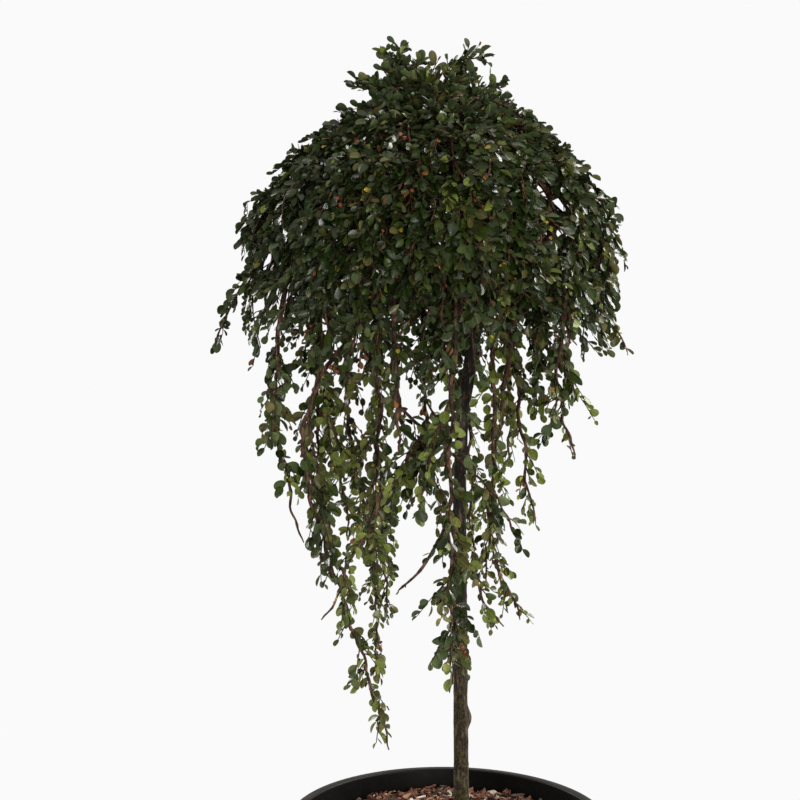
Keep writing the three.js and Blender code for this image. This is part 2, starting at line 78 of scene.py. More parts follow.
# Dome of the crown, as in the source.
DOME_X = -15
DOME_RADIUS = 173
DOME_WIDE_HEIGHT = 690
DOME_TOP_HEIGHT = 889
DOME_FULLNESS = 2.8
DOME_FLARE = 0.04
DOME_LUMP = 5
DOME_CLUMP = 8
SHOULDER_DEPTH = 6
SHOULDER_HEIGHT = 848
SHOOT_DEPTH = 22
SECTORS = 8
CORE_DEPTH = 51
ENTRY_HEIGHT = 834
CROWN_TOP = np.array([-9.0, 0.0, 865.2])
SPIKES = [
    [(-36, -4, 862), (-43, -5, 882), (-42, -6, 897)],
    [(-40, -8, 862), (-50, -8, 880), (-55, -8, 892)],
    [(-34, 0, 862), (-28, 0, 880), (-17, 0, 890)],
    [(-12, 0, 866), (4, 2, 885), (34, 4, 891)],
]
TUFTS = [
    (-72, -14, 866), (-66, 12, 872), (-70, -36, 854), (-56, -30, 872), (-46, -6, 878), (-30, -26, 878),
    (-14, 4, 880), (0, -26, 876), (10, 6, 880), (24, -22, 870), (44, -10, 862), (-32, 26, 874),
    (8, 26, 872), (32, 22, 862), (-58, 38, 856), (-8, 48, 860), (-84, -4, 866), (-50, 4, 884),
    (20, 0, 878), (-22, -44, 862), (10, -42, 858),
]

# Hanging shoots of the source: places as azimuth in degrees about the dome's axis, reach from it and height.
HANGING_SHOOTS = {
    "left_outer": [(198, 133, 667), (198, 141, 598), (200, 118, 468)],
    "left_long": [(224, 90, 646), (214, 116, 600), (211, 124, 545), (228, 81, 364), (239, 68, 300)],
    "front_left": [(234, 55, 645), (237, 53, 585), (272, 45, 527), (302, 53, 453), (322, 74, 398)],
    "front_centre": [(281, 93, 655), (278, 91, 525), (280, 89, 364)],
    "front_short": [(255, 122, 655), (256, 116, 548)],
    "right_inner": [(337, 56, 655), (338, 58, 563), (335, 52, 433)],
    "right_long": [(2, 72, 650), (5, 59, 550), (5, 53, 468), (4, 80, 395)],
    "right_middle": [(28, 84, 650), (21, 94, 521), (19, 99, 477)],
    "right_front": [(343, 117, 660), (342, 108, 576)],
    "right_outer": [(0, 122, 658), (0, 117, 575), (0, 126, 537)],
    "right_back": [(48, 118, 655), (46, 110, 525)],
    "back_right": [(70, 110, 655), (66, 104, 430)],
    "back": [(92, 116, 655), (90, 106, 496)],
    "back_left": [(114, 118, 655), (113, 122, 540), (110, 115, 376)],
    "left_back_long": [(137, 106, 652), (133, 110, 561), (123, 95, 438), (122, 92, 325)],
    "left_middle": [(165, 103, 655), (163, 106, 570), (162, 98, 480)],
    "inner_left": [(165, 50, 655), (158, 50, 550), (170, 62, 462)],
}
# A fork of a shoot: the share of the way at which it leaves, and its places.
FORKS = {
    "left_outer": (0.12, [(212, 150, 600), (214, 158, 560)]),
    "front_left": (0.23, [(318, 72, 507), (327, 88, 466)]),
    "front_centre": (0.56, [(263, 88, 452), (252, 90, 436)]),
    "left_middle": (0.25, [(176, 84, 560), (184, 72, 470)]),
}
LOW_SHOOT = [(262, 62, 556), (245, 92, 512), (234, 120, 450), (230, 135, 414)]
LOW_SHOOT_START = [12.0, 0, 577]
# Tiers of sockets on the head: the reach up to which a shoot's bough starts there, and the tier's height.
BOUGH_TIERS = [(80, 765), (113, 778), (math.inf, 791)]
BOUGH_SIDES = 10

# Camera of the photograph, and the size of its frame in pixels.
EYE = np.array([-42.0, -1050.0, 589.0])
FRAME_SIDE = 800
LENS = 53.865
SENSOR = 36
# Places in the frame where sky shows through the crown: centre, half sizes and turn in degrees.
SKY_GAPS = [
    (541, 191, 4, 10, -36), (558, 205, 9.5, 4.5, 36), (560, 233, 6, 2.5, 35), (547, 239, 3, 2.5, 0),
    (496, 149, 2.5, 5, -15), (268, 262, 2.5, 9, 20), (285, 295, 4, 7, 10), (260, 306, 6, 5, 0),
]
# A leaf whose middle is nearer to a gap than this would reach into it.
GAP_MARGIN = 7


# Vectors and curves


def unit(vectors):
    vectors = np.asarray(vectors, float)
    return vectors / np.maximum(np.linalg.norm(vectors, axis=-1, keepdims=True), 1e-9)


def around(azimuth, reach, height, axis_x=DOME_X):
    azimuth, reach, height = np.broadcast_arrays(azimuth, reach, height)
    return np.stack([axis_x + reach * np.cos(azimuth), reach * np.sin(azimuth), height], axis=-1)


def outward(azimuth):
    return around(azimuth, 1.0, 0.0, 0)


def places_at(places):
    azimuth, reach, height = np.array(places, float).T
    return around(np.radians(azimuth), reach, height)


def azimuth_of(points):
    return np.arctan2(points[..., 1], points[..., 0] - DOME_X)


def bell(distance, width):
    return np.exp(-((distance / width) ** 2))


def drawn(random, low, high, count=None):
    """One random number, or a count of them, spread evenly between two values."""
    return low + (high - low) * random.random(count)


def length_of(line):
    return float(np.linalg.norm(np.diff(line, axis=0), axis=1).sum())


def resampled(line, step):
    """The polyline with even steps of about the given length."""
    lengths = np.linalg.norm(np.diff(line, axis=0), axis=1)
    travelled = np.concatenate([[0], np.cumsum(lengths)])
    count = max(2, int(round(travelled[-1] / step)))
    wanted = np.linspace(0, travelled[-1], count + 1)
    return np.stack([np.interp(wanted, travelled, line[:, k]) for k in range(3)], axis=-1)


def spline(places, step=3.0):
    """A centripetal spline through the places, as an even polyline."""
    ends = np.vstack([2 * places[0] - places[1], places, 2 * places[-1] - places[-2]])
    t = np.linspace(0, 1, 24)[:, None]
    parts = []
    for p0, p1, p2, p3 in zip(ends, ends[1:], ends[2:], ends[3:]):
        d0, d1, d2 = (max(np.linalg.norm(b - a) ** 0.5, 1e-4) for a, b in ((p0, p1), (p1, p2), (p2, p3)))
        t1 = d1 * ((p1 - p0) / d0 - (p2 - p0) / (d0 + d1) + (p2 - p1) / d1)
        t2 = d1 * ((p2 - p1) / d1 - (p3 - p1) / (d1 + d2) + (p3 - p2) / d2)
        cubic = 2 * p1 - 2 * p2 + t1 + t2
        square = -3 * p1 + 3 * p2 - 2 * t1 - t2
        parts.append(p1 + t1 * t + square * t**2 + cubic * t**3)
    return resampled(np.vstack(parts), step)


def bezier(a, b, c, d, step=3.0):
    t = np.linspace(0, 1, 60)[:, None]
    line = a * (1 - t) ** 3 + 3 * b * t * (1 - t) ** 2 + 3 * c * t**2 * (1 - t) + d * t**3
    return resampled(line, step)


def wavering(line, random, amount, length):
    """The line with uneven bends of about the given length. Its start keeps its place."""
    travelled = np.linspace(0, length_of(line), len(line))
    fade = np.minimum(1, travelled / length)
    bent = line.copy()
    for axis in axes_along(line):
        for pace in (1.0, 2.6):
            wave = np.sin(TURN * (travelled / length * pace + random.random()))
            bent += axis * (amount / pace * wave * fade)[:, None]
    return bent


def at(line, share):
    """Places on an even polyline at shares of its length, and the directions there."""
    position = np.clip(share, 0, 1) * (len(line) - 1)
    index = np.minimum(position.astype(int), len(line) - 2)
    step = line[index + 1] - line[index]
    return line[index] + (position - index)[..., None] * step, unit(step)


def smoothed_path(parent_line, places, step=5.0):
    """A path that leaves the parent at its point nearest to the first place."""
    nearest = parent_line[np.argmin(np.linalg.norm(parent_line - places[0], axis=1))]
    return spline(np.vstack([nearest, places]), step)


def seeded(seed):
    """The source's own random numbers."""
    state = seed

    def draw():
        nonlocal state
        state = (state + 0x6D2B79F5) & 0xFFFFFFFF
        t = ((state ^ (state >> 15)) * (state | 1)) & 0xFFFFFFFF
        t ^= (t + (((t ^ (t >> 7)) * (t | 61)) & 0xFFFFFFFF)) & 0xFFFFFFFF
        return (t ^ (t >> 14)) / 4294967296

    return draw


def uneven(points, cell, seed):
    """Smooth noise from about -1 to 1 at each point, with bumps about one cell wide."""
    shift = Vector((17.3 * seed, 5.1 * seed, 9.7 * seed))
    return np.array([noise.noise(Vector(p) + shift) for p in points.reshape(-1, 3) / cell])


# Meshes


def axes_along(line):
    """Two directions across an even polyline at each point, carried along without twist."""
    along = unit(np.gradient(line, axis=0))
    normal = unit(np.cross(along[0], [0.31, 0.57, 0.76]))
    normals = []
    for direction in along:
        normal = unit(normal - direction * np.dot(normal, direction))
        normals.append(normal)
    return np.array(normals), np.cross(along, normals)


def spokes_round(normals, binormals, sides):
    """An even fan of directions out of each point of a limb."""
    angle = np.arange(sides) / sides * TURN
    return normals[..., None, :] * np.cos(angle)[:, None] + binormals[..., None, :] * np.sin(angle)[:, None]


def tube_faces(rings, sides):
    ring, side = np.meshgrid(np.arange(rings - 1), np.arange(sides), indexing="ij")
    a = (ring * sides + side).ravel()
    b = (ring * sides + (side + 1) % sides).ravel()
    return np.stack([a, b, b + sides, a + sides], axis=-1)


def placed(name, data):
    made = bpy.data.objects.new(name, data)
    bpy.context.scene.collection.objects.link(made)
    return made


class Shape:
    """Gathers points and faces and makes one object of them."""

    def __init__(self):
        self.points, self.faces, self.slots, self.places = [], [], [], []
        self.count = 0

    def add(self, points, groups, slot=0, places=None):
        """Points, and groups of faces that count from these. A group's faces have as many corners each."""
        for faces in groups:
            self.faces.append(np.asarray(faces) + self.count)
            self.slots.append(np.full(len(faces), slot))
        self.points.append(points)
        self.places.append(np.zeros((len(points), 2)) if places is None else places)
        self.count += len(points)

    def add_tube(self, rings, places=None):
        """A body round rings of as many points each, closed across the first and the last."""
        count, sides = rings.shape[:2]
        ring = np.arange(sides)
        ends = [ring[::-1]], [ring + (count - 1) * sides]
        self.add(rings.reshape(-1, 3), [tube_faces(count, sides), *ends], 0, places)

    def mesh(self, name, materials, smooth=True):
        points = np.concatenate(self.points) * MM
        corners = np.concatenate([faces.ravel() for faces in self.faces])
        sizes = np.concatenate([np.full(len(faces), faces.shape[1]) for faces in self.faces])
        mesh = bpy.data.meshes.new(name)
        mesh.vertices.add(len(points))
        mesh.vertices.foreach_set("co", points.astype(np.float32).ravel())
        mesh.loops.add(len(corners))
        mesh.loops.foreach_set("vertex_index", corners.astype(np.int32))
        mesh.polygons.add(len(sizes))
        mesh.polygons.foreach_set("loop_start", (np.cumsum(sizes) - sizes).astype(np.int32))
        mesh.polygons.foreach_set("material_index", np.concatenate(self.slots).astype(np.int32))
        mesh.polygons.foreach_set("use_smooth", np.full(len(sizes), smooth))
        layer = mesh.uv_layers.new(name="along_across")
        layer.data.foreach_set("uv", np.concatenate(self.places)[corners].astype(np.float32).ravel())
        mesh.update(calc_edges=True)
        mesh.validate()
        for material in materials:
            mesh.materials.append(material)
        return mesh

    def make(self, name, materials, slot=None, nodes=(), smooth=True):
        made = placed(name, self.mesh(name, materials, smooth))
        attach(made, "root")
        if nodes:
            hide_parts(*nodes)
        return made


def add_limb(shape, line, radius, sides, relief=0.0, cell=3.0, seed=0):
    """A closed limb along a polyline, with bark that stands up and down by a share of its radius."""
    spokes = spokes_round(*axes_along(line), sides)
    size = radius[:, None] * np.ones((1, sides))
    if relief:
        skin = line[:, None] + spokes * size[..., None]
        size = size * (1 + relief * uneven(skin, cell, seed).reshape(size.shape))
    travelled = np.arange(len(line)) / (len(line) - 1) * length_of(line)
    turned = np.tile(np.arange(sides) / sides, len(line))
    places = np.stack([np.repeat(travelled, sides) / 10, turned], axis=-1)
    shape.add_tube(line[:, None] + spokes * size[..., None], places)


# Materials


def fill(tree, socket, value):
    """Fills a socket: by another node's output, a plain value or, for a grey, the settings of a noise."""
    if socket.type == "VALUE" and isinstance(value, tuple):
        value = noise_of(tree, *value)
    if isinstance(value, bpy.types.NodeSocket):
        tree.links.new(value, socket)
    elif socket.type == "RGBA":
        socket.default_value = (*value, 1)
    else:
        socket.default_value = value


def node(tree, kind, inputs=(), **settings):
    """A shader node with its settings, and its inputs filled by name or number."""
    made = tree.nodes.new("ShaderNode" + kind)
    for key, value in settings.items():
        setattr(made, key, value)
    for key, value in dict(inputs).items():
        fill(tree, made.inputs[key], value)
    return made


def ramp(tree, source, *stops):
    """A colour ramp over a socket or a noise. A stop is a position with a colour or the value of a grey."""
    made = node(tree, "ValToRGB", {"Fac": source})
    elements = made.color_ramp.elements
    while len(elements) < len(stops):
        elements.new(0.5)
    for element, (position, color) in zip(elements, stops):
        element.position = position
        element.color = (*color, 1) if isinstance(color, tuple) else (color, color, color, 1)
    return made.outputs["Color"]


def noise_of(tree, scale, detail, roughness=0.55, stretch=None):
    source = node(tree, "TexCoord").outputs["Object"]
    if stretch:
        source = node(tree, "Mapping", {"Vector": source, "Scale": stretch}).outputs["Vector"]
    inputs = {"Vector": source, "Scale": scale, "Detail": detail, "Roughness": roughness}
    return node(tree, "TexNoise", inputs).outputs["Fac"]


def mixed(tree, factor, first, second, blend="MIX"):
    inputs = {0: factor, 6: first, 7: second}
    return node(tree, "Mix", inputs, data_type="RGBA", blend_type=blend).outputs[2]


def calculated(tree, operation, first, second=0.0):
    return node(tree, "Math", {0: first, 1: second}, operation=operation).outputs["Value"]


def height_mask(tree, low, high):
    """0 below one height in millimetres and 1 above the other."""
    split = node(tree, "SeparateXYZ", {"Vector": node(tree, "TexCoord").outputs["Object"]})
    inputs = {"From Min": low * MM, "From Max": high * MM, "Value": split.outputs["Z"]}
    return node(tree, "MapRange", inputs).outputs["Result"]


def new_material(name):
    made = bpy.data.materials.new(name)
    made.use_nodes = True
    return made, made.node_tree


def dressed(made, color, rough, bump, specular=0.5):
    """Fills the shader in: rough is a noise and two stops, bump a height, distance and strength."""
    tree = made.node_tree
    shader = tree.nodes["Principled BSDF"]
    bumps = node(tree, "Bump", dict(zip(("Height", "Distance", "Strength"), bump)))
    fill(tree, shader.inputs["Base Color"], color)
    fill(tree, shader.inputs["Roughness"], ramp(tree, *rough))
    fill(tree, shader.inputs["Normal"], bumps.outputs["Normal"])
    shader.inputs["Specular IOR Level"].default_value = specular
    return made


def side_veins(tree, along, across):
    """Peaks along the veins that slant from the midrib to the leaf's edge."""
    veins = 6
    aside = calculated(tree, "ABSOLUTE", calculated(tree, "SUBTRACT", across, 0.5))
    slanted = calculated(tree, "SUBTRACT", along, calculated(tree, "MULTIPLY", aside, 0.8))
    return calculated(tree, "SINE", calculated(tree, "MULTIPLY", slanted, TURN * veins))


def leaf_upper(name, dark, light, roughness):
    """Glossy upper side: two greens in patches, a paler midrib and side veins, and slight blisters."""
    made, tree = new_material(name)
    patches = ramp(tree, (95, 2), (0.35, dark), (0.66, light))
    place = node(tree, "SeparateXYZ", {"Vector": node(tree, "TexCoord").outputs["UV"]}).outputs
    rib = ramp(tree, place["Y"], (0.45, 0), (0.5, 0.7), (0.55, 0))
    veins = side_veins(tree, place["X"], place["Y"])
    pale = tuple(1.8 * c + 0.012 for c in light)
    veined = mixed(tree, ramp(tree, veins, (0.7, 0), (1, 0.3)), patches, pale)
    rough = ((140, 2), (0.3, roughness - 0.06), (0.75, roughness + 0.12))
    blisters = mixed(tree, 0.25, noise_of(tree, 420, 2), veins)
    return dressed(made, mixed(tree, rib, veined, pale), rough, (blisters, 0.0002, 0.5), 0.43)


def leaf_under(name, dark, light):
    """Dull underside, paler, with fine down that breaks its shading up."""
    made, tree = new_material(name)
    color = ramp(tree, (160, 3), (0.3, dark), (0.7, light))
    return dressed(made, color, ((600, 2), (0.3, 0.55), (0.7, 0.75)), ((1500, 2), 0.0001, 0.4), 0.25)


def stem_bark_material():
    """Grey-brown bark in long streaks, red flecks above and yellow-green lichen towards the foot."""
    made, tree = new_material("stem_bark")
    streaks = (300, 6, 0.65, (1, 1, 0.24))
    dark, middle, light = (0.004, 0.003, 0.0023), (0.0135, 0.0098, 0.0074), (0.12, 0.093, 0.072)
    bark = ramp(tree, streaks, (0.38, dark), (0.53, middle), (0.68, light))
    flecks = ramp(tree, (430, 2, 0.5, (1, 1, 0.6)), (0.63, 0), (0.69, 0.8))
    flecked = mixed(tree, flecks, bark, (0.11, 0.035, 0.024))
    spread = ramp(tree, (560, 5, 0.7, (1, 1, 0.7)), (0.47, 0), (0.58, 1))
    near_foot = ramp(tree, height_mask(tree, 215, 480), (0, 0.75), (1, 0))
    lichen = mixed(tree, 1.0, spread, near_foot, "MULTIPLY")
    color = mixed(tree, lichen, flecked, (0.095, 0.078, 0.02))
    bump = ((700, 6, 0.65, (1, 1, 0.3)), 0.0009, 1.0)
    return dressed(made, color, (streaks, (0.3, 0.9), (0.75, 0.62)), bump, 0.3)


def shoot_bark_material():
    """Red-brown young bark with pale specks."""
    made, tree = new_material("shoot_bark")
    dark, middle, light = (0.014, 0.006, 0.004), (0.05, 0.023, 0.014), (0.16, 0.085, 0.052)
    streaks = (260, 4, 0.6, (1, 1, 0.35))
    bark = ramp(tree, streaks, (0.38, dark), (0.52, middle), (0.66, light))
    color = mixed(tree, ramp(tree, (900, 1, 0.4), (0.66, 0), (0.72, 0.6)), bark, (0.22, 0.17, 0.13))
    bump = ((1300, 4, 0.6, (1, 1, 0.5)), 0.0003, 0.7)
    return dressed(made, color, ((500, 2), (0.3, 0.55), (0.75, 0.78)), bump, 0.25)


def pot_material():
    """Black moulded plastic, satin, with dust and fine scuffs."""
    made, tree = new_material("pot_plastic")
    dust = ramp(tree, (22, 6, 0.7), (0.45, 0), (0.8, 0.55))
    scuffs = ramp(tree, (320, 3, 0.6, (1, 1, 6)), (0.62, 0), (0.7, 0.5))
    dusty = mixed(tree, dust, (0.0022, 0.0022, 0.0023), (0.006, 0.0057, 0.0054))
    color = mixed(tree, scuffs, dusty, (0.026, 0.025, 0.024))
    rough = ((30, 5, 0.65), (0.35, 0.34), (0.75, 0.58))
    return dressed(made, color, rough, ((1600, 3, 0.6), 0.00015, 0.35), 0.13)


def bark_chip_material(name, dark, middle, light):
    """Fibrous bark, torn and weathered."""
    made, tree = new_material(name)
    color = ramp(tree, (330, 5, 0.65, (1, 0.35, 1)), (0.28, dark), (0.5, middle), (0.74, light))
    bump = ((1100, 5, 0.7, (1, 0.4, 1)), 0.0007, 0.9)
    return dressed(made, color, ((200, 2), (0.3, 0.7), (0.7, 0.95)), bump)


def berry_material():
    """Ripe red skin, a little orange in patches, with a soft shine."""
    made, tree = new_material("berry_red")
    color = ramp(tree, (190, 2), (0.3, (0.1, 0.014, 0.008)), (0.7, (0.22, 0.045, 0.018)))
    return dressed(made, color, ((400, 2), (0.3, 0.3), (0.7, 0.45)), ((900, 2), 0.0001, 0.3))


def floor_material():
    made, tree = new_material("floor_pale")
    shader = tree.nodes["Principled BSDF"]
    color = ramp(tree, (9, 4), (0.3, (0.53, 0.55, 0.6)), (0.7, (0.57, 0.59, 0.64)))
    fill(tree, shader.inputs["Base Color"], color)
    shader.inputs["Roughness"].default_value = 0.8
    return made


# Tints of the leaves: two colours of the upper side and its roughness, and two colours of the underside.
TINTS = {
    "deep": [
        ((0.0065, 0.0152, 0.0028), (0.016, 0.0296, 0.0044), 0.24),
        ((0.03, 0.05, 0.018), (0.06, 0.085, 0.035)),
    ],
    "green": [
        ((0.0185, 0.0365, 0.0055), (0.041, 0.062, 0.0105), 0.27),
        ((0.05, 0.08, 0.023), (0.1, 0.132, 0.048)),
    ],
    "olive": [
        ((0.036, 0.04, 0.009), (0.075, 0.075, 0.016), 0.3),
        ((0.078, 0.08, 0.023), (0.145, 0.14, 0.048)),
    ],
    "fresh": [
        ((0.085, 0.12, 0.02), (0.15, 0.185, 0.033), 0.36),
        ((0.14, 0.18, 0.04), (0.22, 0.26, 0.07)),
    ],
    "yellow": [
        ((0.26, 0.21, 0.02), (0.4, 0.3, 0.03), 0.45),
        ((0.28, 0.22, 0.05), (0.4, 0.3, 0.08)),
    ],
    "rust": [
        ((0.15, 0.05, 0.015), (0.28, 0.11, 0.03), 0.5),
        ((0.17, 0.07, 0.03), (0.27, 0.13, 0.05)),
    ],
}
WITHERED = list(TINTS).index("yellow")
leaf_materials = {
    name: [leaf_upper(f"leaf_{name}_upper", *upper), leaf_under(f"leaf_{name}_under", *under)]
    for name, (upper, under) in TINTS.items()
}


# Dome of the crown


def dome_radius_at(height):
    share = np.clip((height - DOME_WIDE_HEIGHT) / (DOME_TOP_HEIGHT - DOME_WIDE_HEIGHT), 0, 1)
    flare = DOME_FLARE * np.maximum(0, DOME_WIDE_HEIGHT - height)
    return DOME_RADIUS * (1 - share**DOME_FULLNESS) + flare


def lump_at(azimuth, height):
    """How far the crown falls short of the dome: lumps, smaller clumps and a lower left shoulder."""
    shoulder = SHOULDER_DEPTH * bell(height - SHOULDER_HEIGHT, 22) * np.maximum(0, -np.cos(azimuth)) ** 2
    lump = DOME_LUMP * np.sin(5 * azimuth + height / 29) * np.cos(2 * azimuth - height / 41)
    clump = DOME_CLUMP * (0.3 + np.sin(13 * azimuth + height / 13) * np.sin(9 * azimuth - height / 11 + 1))
    return shoulder + lump + clump


# The dome's outline from its top down: heights, radii, distance travelled and the way out at each.
outline_heights = np.linspace(DOME_TOP_HEIGHT - 0.2, 580, 700)
outline_radii = dome_radius_at(outline_heights)
outline_steps = np.hypot(np.diff(outline_heights), np.diff(outline_radii))
outline_travel = np.concatenate([[0], np.cumsum(outline_steps)])
outline_slope = unit(np.stack([-np.gradient(outline_heights), np.gradient(outline_radii)], axis=-1))


def travel_between(start_height, end_height):
    """Nine even distances down the dome from one height to another."""
    heights = np.array([start_height, end_height])
    return np.linspace(*np.interp(-heights, -outline_heights, outline_travel), 9)


def on_dome(azimuth, travel, depth):
    """Places under the dome's surface, at distances travelled down from its top."""
    columns = (outline_heights, outline_radii, *outline_slope.T)
    height, radius, out_flat, out_up = (np.interp(travel, outline_travel, column) for column in columns)
    inside = depth + lump_at(azimuth, height)
    return around(azimuth, radius - inside * out_flat, height - inside * out_up)


def dome_frame(points):
    """How far points stand out of the dome's surface, and the way out of it there."""
    reach = np.hypot(points[:, 0] - DOME_X, points[:, 1])
    gap_flat = reach[:, None] - outline_radii[::6]
    gap_up = points[:, 2:] - outline_heights[::6]
    nearest = np.argmin(gap_flat**2 + gap_up**2, axis=1)
    rows = np.arange(len(points))
    slope = outline_slope[::6][nearest]
    out = gap_flat[rows, nearest] * slope[:, 0] + gap_up[rows, nearest] * slope[:, 1]
    azimuth = azimuth_of(points)
    return out + lump_at(azimuth, points[:, 2]), around(azimuth, slope[:, 0], slope[:, 1], 0)


def kept_under(points, depth):
    """The points, with those nearer to the dome's surface than the depth drawn in."""
    out, way = dome_frame(points)
    return points - np.maximum(0, out + depth)[:, None] * way


def dome_side(points, index):
    return dome_frame(points)[1]


def any_side(seed):
    """Open sides that turn from leaf to leaf, for shoots that hang free."""
    return lambda points, index: outward(index * LEAF_TURN + seed) + 0.12 * UP


# Gaps where the sky shows through


def frame_place(points):
    """Where points show in the photograph's frame, in pixels."""
    scale = LENS / SENSOR * FRAME_SIDE / (points[:, 1] - EYE[1])
    across = FRAME_SIDE / 2 + (points[:, 0] - EYE[0]) * scale
    down = FRAME_SIDE / 2 - (points[:, 2] - EYE[2]) * scale
    return across, down


def gap_places(points, gap, margin):
    """Where points show along the two axes of a gap, in shares of its half sizes."""
    x, y, half_x, half_y, turn = gap
    across, down = frame_place(points)
    c, s = math.cos(math.radians(turn)), math.sin(math.radians(turn))
    u = ((across - x) * c + (down - y) * s) / (half_x + margin)
    v = ((down - y) * c - (across - x) * s) / (half_y + margin)
    return u, v


def outside_gaps(points, margin=0.0):
    places = [gap_places(points, gap, margin) for gap in SKY_GAPS]
    return np.all([u**2 + v**2 > 1 for u, v in places], axis=0)


def parted(line, margin):
    """The line of a shoot, moved aside where it would show in a gap."""
    line = line.copy()
    for gap in SKY_GAPS:
        u, v = gap_places(line, gap, margin)
        inside = u**2 + v**2 < 1
        if not inside.any():
            continue
        side = 1 if u[inside].mean() > 0 else -1
        pixels = (side * np.sqrt(1 - v[inside] ** 2) - u[inside]) * (gap[2] + margin)
        size = pixels * (line[inside, 1] - EYE[1]) * SENSOR / LENS / FRAME_SIDE
        turn = math.radians(gap[4])
        line[inside, 0] += size * math.cos(turn)
        line[inside, 2] -= size * math.sin(turn)
    return line


# Leaves and side twigs

# Half widths of the leaf's blade, as shares of its width, at shares of its length.
SMALL_LEAF = [(0.14, 0.18), (0.33, 0.4), (0.56, 0.5), (0.78, 0.45), (0.94, 0.25)]
LARGE_LEAF = [(0.1, 0.16), (0.24, 0.38), (0.45, 0.5), (0.66, 0.5), (0.84, 0.38), (0.96, 0.18)]
LEAF_THICKNESS = 0.22
SINGLE_TINTS = [0.39, 0.26, 0.16, 0.08, 0.035, 0.075]
SINGLE_SHARE = 0.22
TWIG_POINTS = 5


def leaf_pattern(leaf):
    """Places along, across and on the midrib, and the faces of the upper side: a fan round its middle."""
    shares, halves = np.array(leaf).T
    along = np.concatenate([[0], shares, [1], shares[::-1], [0.5]])
    across = np.concatenate([[0], halves, [0], -halves[::-1], [0]])
    rim = np.arange(len(along) - 1)
    fan = np.stack([np.roll(rim, -1), rim, np.full(len(rim), len(rim))], axis=-1)
    return along, across, np.append(0.0 * rim, 1.0), fan


def add_leaves(shape, leaves, leaf):
    """Leaves of two sheets that meet at the rim: slot 0 is the upper side, slot 1 the underside."""
    along, across, middle, fan = leaf_pattern(leaf)
    direction = unit(leaves["direction"])
    side = unit(np.cross(leaves["face"], direction))
    face = np.cross(direction, side)
    length, width = leaves["length"][:, None], leaves["width"][:, None]
    lift = leaves["fold"][:, None] * np.abs(across) * width
    lift = lift - leaves["arch"][:, None] * length * (along - 0.3) * np.abs(along - 0.3)
    flat = leaves["place"][:, None] + direction[:, None] * (along * length)[..., None]
    flat = flat + side[:, None] * (across * width)[..., None]
    places = np.tile(np.stack([along, across + 0.5], axis=-1), (len(length), 1))
    steps = (np.arange(len(length)) * len(along))[:, None, None]
    for slot, faces, drop in ((0, fan, 0.0), (1, fan[:, ::-1], LEAF_THICKNESS)):
        points = flat + face[:, None] * (lift - drop * middle)[..., None]
        shape.add(points.reshape(-1, 3), [(faces + steps).reshape(-1, 3)], slot, places)


def leaves_on(line, random, open_at, size, spacing, lift, start):
    """Leaves to the two sides of a twig in turn, tilted towards its open side, and one at its tip."""
    last = max(2, int((1 - start) * length_of(line) / spacing))
    count = last + 1
    order = np.arange(count)
    share = start + (1 - start) * (order + drawn(random, -0.15, 0.15, count)) / last
    place, along = at(line, share)
    way_out = open_at(place, order)
    side = unit(np.cross(along, way_out))
    swing = np.where(order % 2, 1, -1) * drawn(random, 0.35, 0.9, count)
    swing[-1] *= 0.2
    ahead = drawn(random, 0.6, 1.1, count)
    raised = lift + drawn(random, -0.135, 0.315, count)
    roll = drawn(random, -1.9, 1.9, count)
    tilt = drawn(random, -1.3, 1.3, count)
    length = size[0] * (0.62 + 0.72 * random.random(count) ** 1.3) * np.where(share > 0.85, 0.8, 1.0)
    return {
        "place": place,
        "direction": along * ahead[:, None] + side * swing[:, None] + way_out * raised[:, None] - 0.12 * UP,
        "face": 0.8 * way_out + 0.5 * UP + side * roll[:, None] + along * tilt[:, None],
        "length": length,
        "width": length * size[1] * drawn(random, 0.86, 1.16, count),
        "fold": drawn(random, 0.15, 0.7, count),
        "arch": drawn(random, -0.18, 0.42, count),
    }


class Foliage:
    """Limbs, twigs and leaves of one part of the plant. Its tints are the chances of each for a spray."""

    def __init__(self, leaf, tints):
        self.leaf, self.tints = leaf, tints
        self.limbs, self.twigs, self.sprays = [], [], []

    def grow_leaves(self, line, random, open_at, size, spacing, lift, start=0.0):
        """One tint for the spray, and another for a leaf here and there. Withered leaves are smaller."""
        leaves = leaves_on(line, random, open_at, size, spacing, lift, start)
        count = len(leaves["length"])
        spray = random.choice(len(TINTS), p=self.tints)
        single = random.choice(len(TINTS), size=count, p=SINGLE_TINTS)
        leaves["tint"] = np.where(random.random(count) < SINGLE_SHARE, single, spray)
        withered = np.where(leaves["tint"] >= WITHERED, 0.6, 1.0)
        leaves["length"] = leaves["length"] * withered
        leaves["width"] = leaves["width"] * withered
        self.sprays.append(leaves)


def gathered(sprays):
    return {key: np.concatenate([spray[key] for spray in sprays]) for key in sprays[0]}


